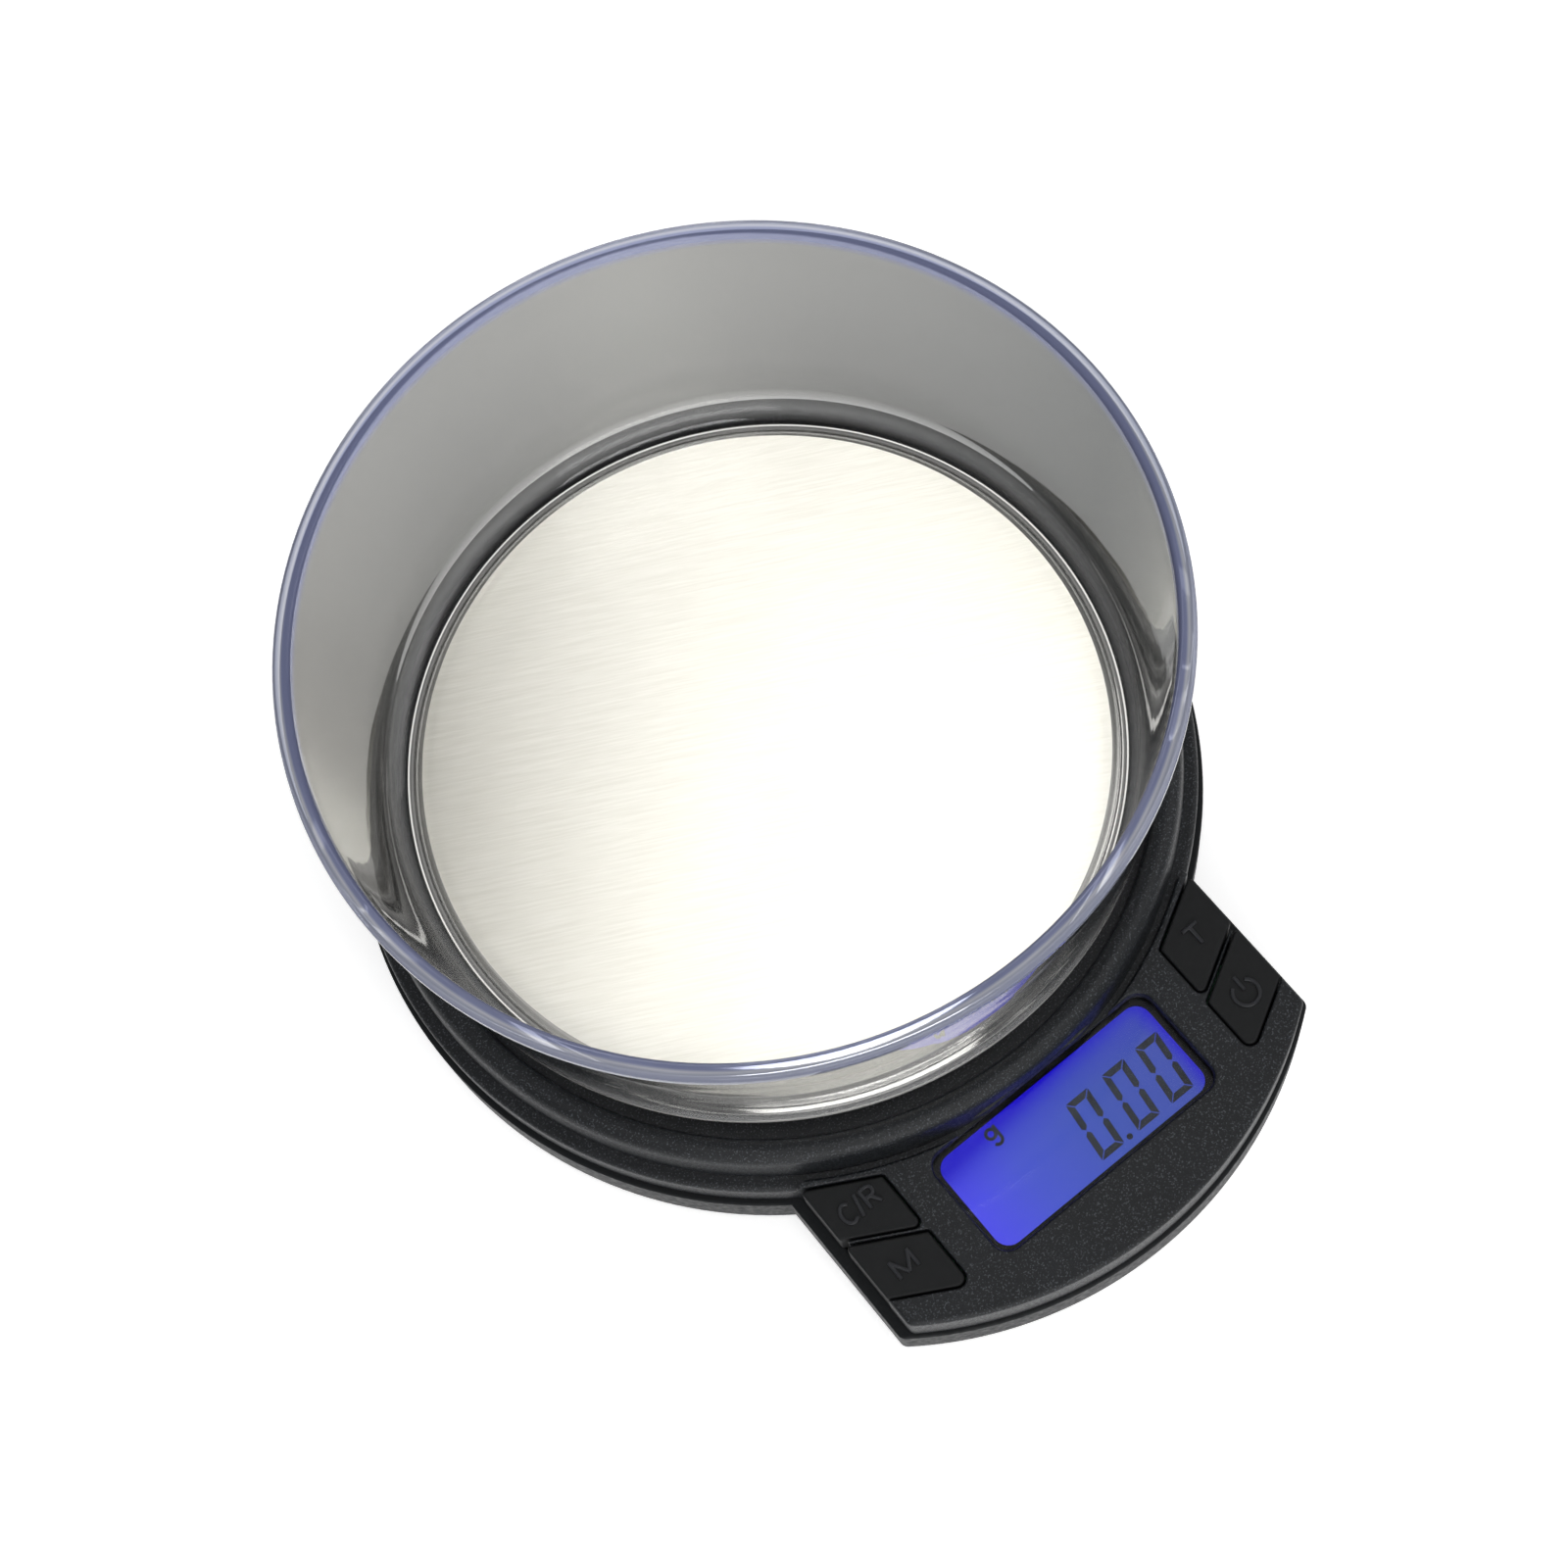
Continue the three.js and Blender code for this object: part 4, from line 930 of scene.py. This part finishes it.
# One profile: up the outside from the stepped floor, over the rim's bead, down the inside.
def build_bowl():
    foot = (BOWL_FOOT_RADIUS - BOWL_FILLET, BOWL_BOTTOM + BOWL_FILLET)
    bead_bottom = BOWL_TOP - RIM_BEAD
    lip = BOWL_RIM_RADIUS - BOWL_WALL - 0.5
    outside = [(0, BOWL_BOTTOM + FOOT_STEP), (BOWL_FOOT[0], BOWL_BOTTOM + FOOT_STEP),
               (BOWL_FOOT[1], BOWL_BOTTOM), *arc(foot, BOWL_FILLET, -90, 0, 16),
               (BOWL_RIM_RADIUS - 0.7, bead_bottom),
               *arc((BOWL_RIM_RADIUS - 0.6, bead_bottom + 0.7), 0.6, -60, 0, 4)]
    rim = [*arc((BOWL_RIM_RADIUS - 0.8, BOWL_TOP - 0.8), 0.8, 0, 90, 8),
           *arc((lip + 0.7, BOWL_TOP - 0.7), 0.7, 90, 180, 8)]
    inside = [(lip - 0.15, BOWL_TOP - 3.4), (lip - 0.5, BOWL_TOP - 5.0),
              *arc(foot, BOWL_FILLET - BOWL_WALL, 0, -90, 12), (0, BOWL_BOTTOM + BOWL_WALL)]
    bowl = lathe("clear_bowl", outside + rim + inside, 192)
    finish_piece(bowl, LOOK["bowl"], "bowl", ["bowl"], 40)


# ---- Display --------------------------------------------------------------------------
DIGIT_HEIGHT = 9.5
DIGIT_WIDTH = 4.1
DIGIT_LEAN = math.tan(math.radians(7))
DIGIT_FOOT_Y = -75.9
DIGIT_LEFTS = (-0.17, 6.53, 12.76)
SEGMENT = 1.0
SEGMENT_GAP = 0.11
POINT_CENTRE = (5.1, -75.65)
POINT_RADIUS = 0.46
UNIT_CENTRE = (-9.85, -63.3)
LETTER_STROKE = 0.5
LETTER_ROUND = 0.72            # radius of the g's bowl and of its tail
INK_Z = (GLASS_TOP + 0.005, GLASS_TOP + 0.03)


# A mark on the glass, as thin as print.
def ink(name, points):
    return prism(name, lambda _: points, [(0, INK_Z[0]), (0, INK_Z[1])])


# The six lit segments of a leaning "0", as bars with mitred ends.
def zero_segments(left, number):
    w, h, t, g = DIGIT_WIDTH, DIGIT_HEIGHT, SEGMENT, SEGMENT_GAP
    top = [(g, h), (w - g, h), (w - g - t, h - t), (g + t, h - t)]
    upper = [(w, h - g), (w, h / 2 + g + t / 2), (w - t / 2, h / 2 + g), (w - t, h / 2 + g + t / 2),
             (w - t, h - g - t)]
    shapes = [top, upper, [(x, h - y) for x, y in top], [(x, h - y) for x, y in upper],
              [(w - x, y) for x, y in upper], [(w - x, h - y) for x, y in upper]]
    pieces = []
    for i, shape in enumerate(shapes):
        points = [(left + x + y * DIGIT_LEAN, DIGIT_FOOT_Y + y) for x, y in shape]
        pieces.append(ink(f"digit_{number}_{i}", points))
    return pieces


# A stroke of even width along a line of points, as one flat outline.
def stroke_outline(points, width):
    line = [Vector(p) for p in points]
    left, right = [], []
    for i, point in enumerate(line):
        before = line[max(i - 1, 0)]
        after = line[min(i + 1, len(line) - 1)]
        along = (after - before).normalized()
        side = Vector((-along.y, along.x)) * width / 2
        left.append(tuple(point + side))
        right.append(tuple(point - side))
    return right + left[::-1]


# A one-storey g: a ring, and a stem that ends in a hook.
def letter_g(centre):
    x, y = centre
    inner = LETTER_ROUND - LETTER_STROKE / 2
    outer = LETTER_ROUND + LETTER_STROKE / 2
    ring = lathe("letter_g_0", [(inner, INK_Z[0]), (outer, INK_Z[0]), (outer, INK_Z[1]),
                                (inner, INK_Z[1])], 32, (x, y + 0.5))
    tail = [(x + 0.98, y + 1.4), *arc((x + 0.26, y - 0.7), LETTER_ROUND, 0, -155, 10)]
    return [ring, ink("letter_g_1", stroke_outline(tail, LETTER_STROKE))]


def build_display():
    window = prism("display_window", rectangle(HOLDER_X, HOLDER_Y, 2),
                   wall_levels(WINDOW_TOP - WINDOW_THICK, WINDOW_TOP, 0.1, 0.12, 2))
    finish_piece(window, LOOK["window"], "casing", ["lcd_window"])
    bezel = prism("display_mask", rectangle(HOLDER_X, HOLDER_Y, 1),
                  [(0, GLASS_TOP + 0.05), (0, GLASS_TOP + 0.5)])
    cut(bezel, prism("view", rectangle(VIEW_X, VIEW_Y, VIEW_CORNER),
                     [(0, GLASS_TOP - 1), (0, GLASS_TOP + 2)]))
    finish_piece(bezel, LOOK["mask"], "casing", ["lcd_bezel"])
    glass = prism("display_glass", rectangle((HOLDER_X[0] + 1.1, HOLDER_X[1] - 1.1),
                                             (HOLDER_Y[0] + 1.1, HOLDER_Y[1] - 1.1), 0.3),
                  wall_levels(GLASS_TOP - GLASS_THICK, GLASS_TOP, 0.1, 0.1, 2))
    finish_piece(glass, LOOK["light"], "casing", ["lcd_glass"])
    marks = [mark for i, left in enumerate(DIGIT_LEFTS) for mark in zero_segments(left, i)]
    marks.append(cylinder("digit_point", POINT_RADIUS, POINT_CENTRE, *INK_Z, 24))
    marks += letter_g(UNIT_CENTRE)
    for mark in marks:
        finish_piece(mark, LOOK["ink"], "casing", None)


# ---- Keys -----------------------------------------------------------------------------
# A raised rounded stroke of a key's mark, from just under the key's top.
def raised_stroke(points):
    def outline(inset):
        return stroke_outline(points, LEGEND_STROKE - 2 * inset)
    top = KEY_TOP + LEGEND_HEIGHT
    return prism("stroke", outline, [(0, KEY_TOP - 0.2), (0, top - 0.1), (0.06, top - 0.03),
                                     (0.14, top)])


def letter_c(x, y, w, h):
    return [[(x + w / 2 + w / 2 * math.cos(t), y + h / 2 + h / 2 * math.sin(t))
             for t in [math.radians(50 + 260 * i / 18) for i in range(19)]]]


def letter_r(x, y, w, h):
    loop = [(x, y), (x, y + h), (x + w * 0.55, y + h)]
    loop += arc((x + w * 0.55, y + h * 0.76), h * 0.24, 80, -80, 8)
    loop += [(x + w * 0.55, y + h * 0.52), (x, y + h * 0.52)]
    return [loop[:2], loop[1:], [(x + w * 0.5, y + h * 0.5), (x + w, y)]]


# Each key's mark, as strokes of points on its top.
MARKS = {
    "button_count": letter_c(-34.0, -60.9, 2.1, 3.0) + [[(-31.45, -61.1), (-30.75, -57.7)]]
    + letter_r(-29.9, -60.9, 1.9, 3.0),
    "button_mode": [[(-33.0, -71.3), (-33.0, -68.4)], [(-33.0, -68.5), (-31.4, -71.2)],
                    [(-31.4, -71.2), (-29.8, -68.5)], [(-29.8, -68.4), (-29.8, -71.3)]],
    "button_tare": [[(29.8, -58.4), (32.4, -58.4)], [(31.1, -58.4), (31.1, -61.4)]],
    "button_power": [arc((30.9, -70.9), 1.95, 125, 415, 26), [(31.0, -68.1), (31.0, -70.5)]],
}
KEYS = {"button_tare": (1, "rear"), "button_power": (1, "front"),
        "button_count": (-1, "rear"), "button_mode": (-1, "front")}


# A cap that carries its mark, and a skirt that keeps it in its slot.
def build_keys():
    for node, (side, row) in KEYS.items():
        cap = prism(node + "_cap", key_outline(side, row),
                    wall_levels(KEY_BOTTOM, KEY_TOP, 0, 0.35))
        x = sorted(side * value for value in KEY_SKIRT)
        low, high = (y + KEY_SLOPE * (KEY_SKIRT[0] - KEY_MIDDLE) for y in KEY_ROWS[row])
        skirt = box("skirt", x, (low + 0.8, high - 0.3), (KEY_SKIRT_BOTTOM, KEY_BOTTOM + 1))
        join(cap, skirt, *[raised_stroke(points) for points in MARKS[node]])
        finish_piece(cap, LOOK["key"], node, [node])


# ---- Batteries ------------------------------------------------------------------------
# Two cells side by side, the second turned end for end.
def build_batteries():
    half = BATTERY_LENGTH / 2
    shoulder = arc((BATTERY_RADIUS - 0.4, half - 1.4), 0.4, 0, 90, 4)
    profile = [(0, -half), (BATTERY_RADIUS - 0.5, -half), (BATTERY_RADIUS, -half + 0.4),
               *shoulder, (2.2, half - 1.0), (1.9, half - 0.8), (1.9, half - 0.2),
               (1.7, half), (0, half)]
    for i, y in enumerate(BATTERY_Y, 1):
        turn = 1 if i == 1 else -1
        cell = lathe(f"cell_{i}", profile, 64)
        spin = Matrix.Rotation(turn * math.pi / 2, 4, "Y")
        place = Matrix.Translation(at(0, y, BATTERY_Z)) @ spin @ Matrix.Translation(-at(0, 0, 0))
        cell.data.transform(place)
        finish_piece(cell, LOOK["sleeve"], "casing", [f"battery_{i}"])


# ---- CAD nodes that stay --------------------------------------------------------------
CARRIED = {
    "load_cell": "aluminium", "strain_gauge_top": "white", "strain_gauge_bottom": "white",
    "platform_support": "trim", "backlight_panel": "white", "zebra_strip": "foam",
    "lcd_holder": "white", "main_board": "board", "scale_chip": "chip",
    "cell_connector": "white", "power_connector": "white", "load_cell_cable": "white",
    "battery_lead_red": "red", "battery_lead_black": "black",
}


def dress_carried():
    looks = dict(CARRIED)
    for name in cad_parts:
        if name.startswith(("switch_", "platform_screw_", "battery_spring_", "battery_plate_")):
            looks[name] = "zinc"
        if name.startswith("platform_pad_"):
            looks[name] = "foam"
    for name, look in looks.items():
        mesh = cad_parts[name].data
        mesh.materials.clear()
        mesh.materials.append(LOOK[look])


build_upper_shell()
build_lower_shell()
build_battery_door()
build_feet()
build_screws()
build_platform()
build_bowl()
build_display()
build_keys()
build_batteries()
dress_carried()

bpy.context.view_layer.update()
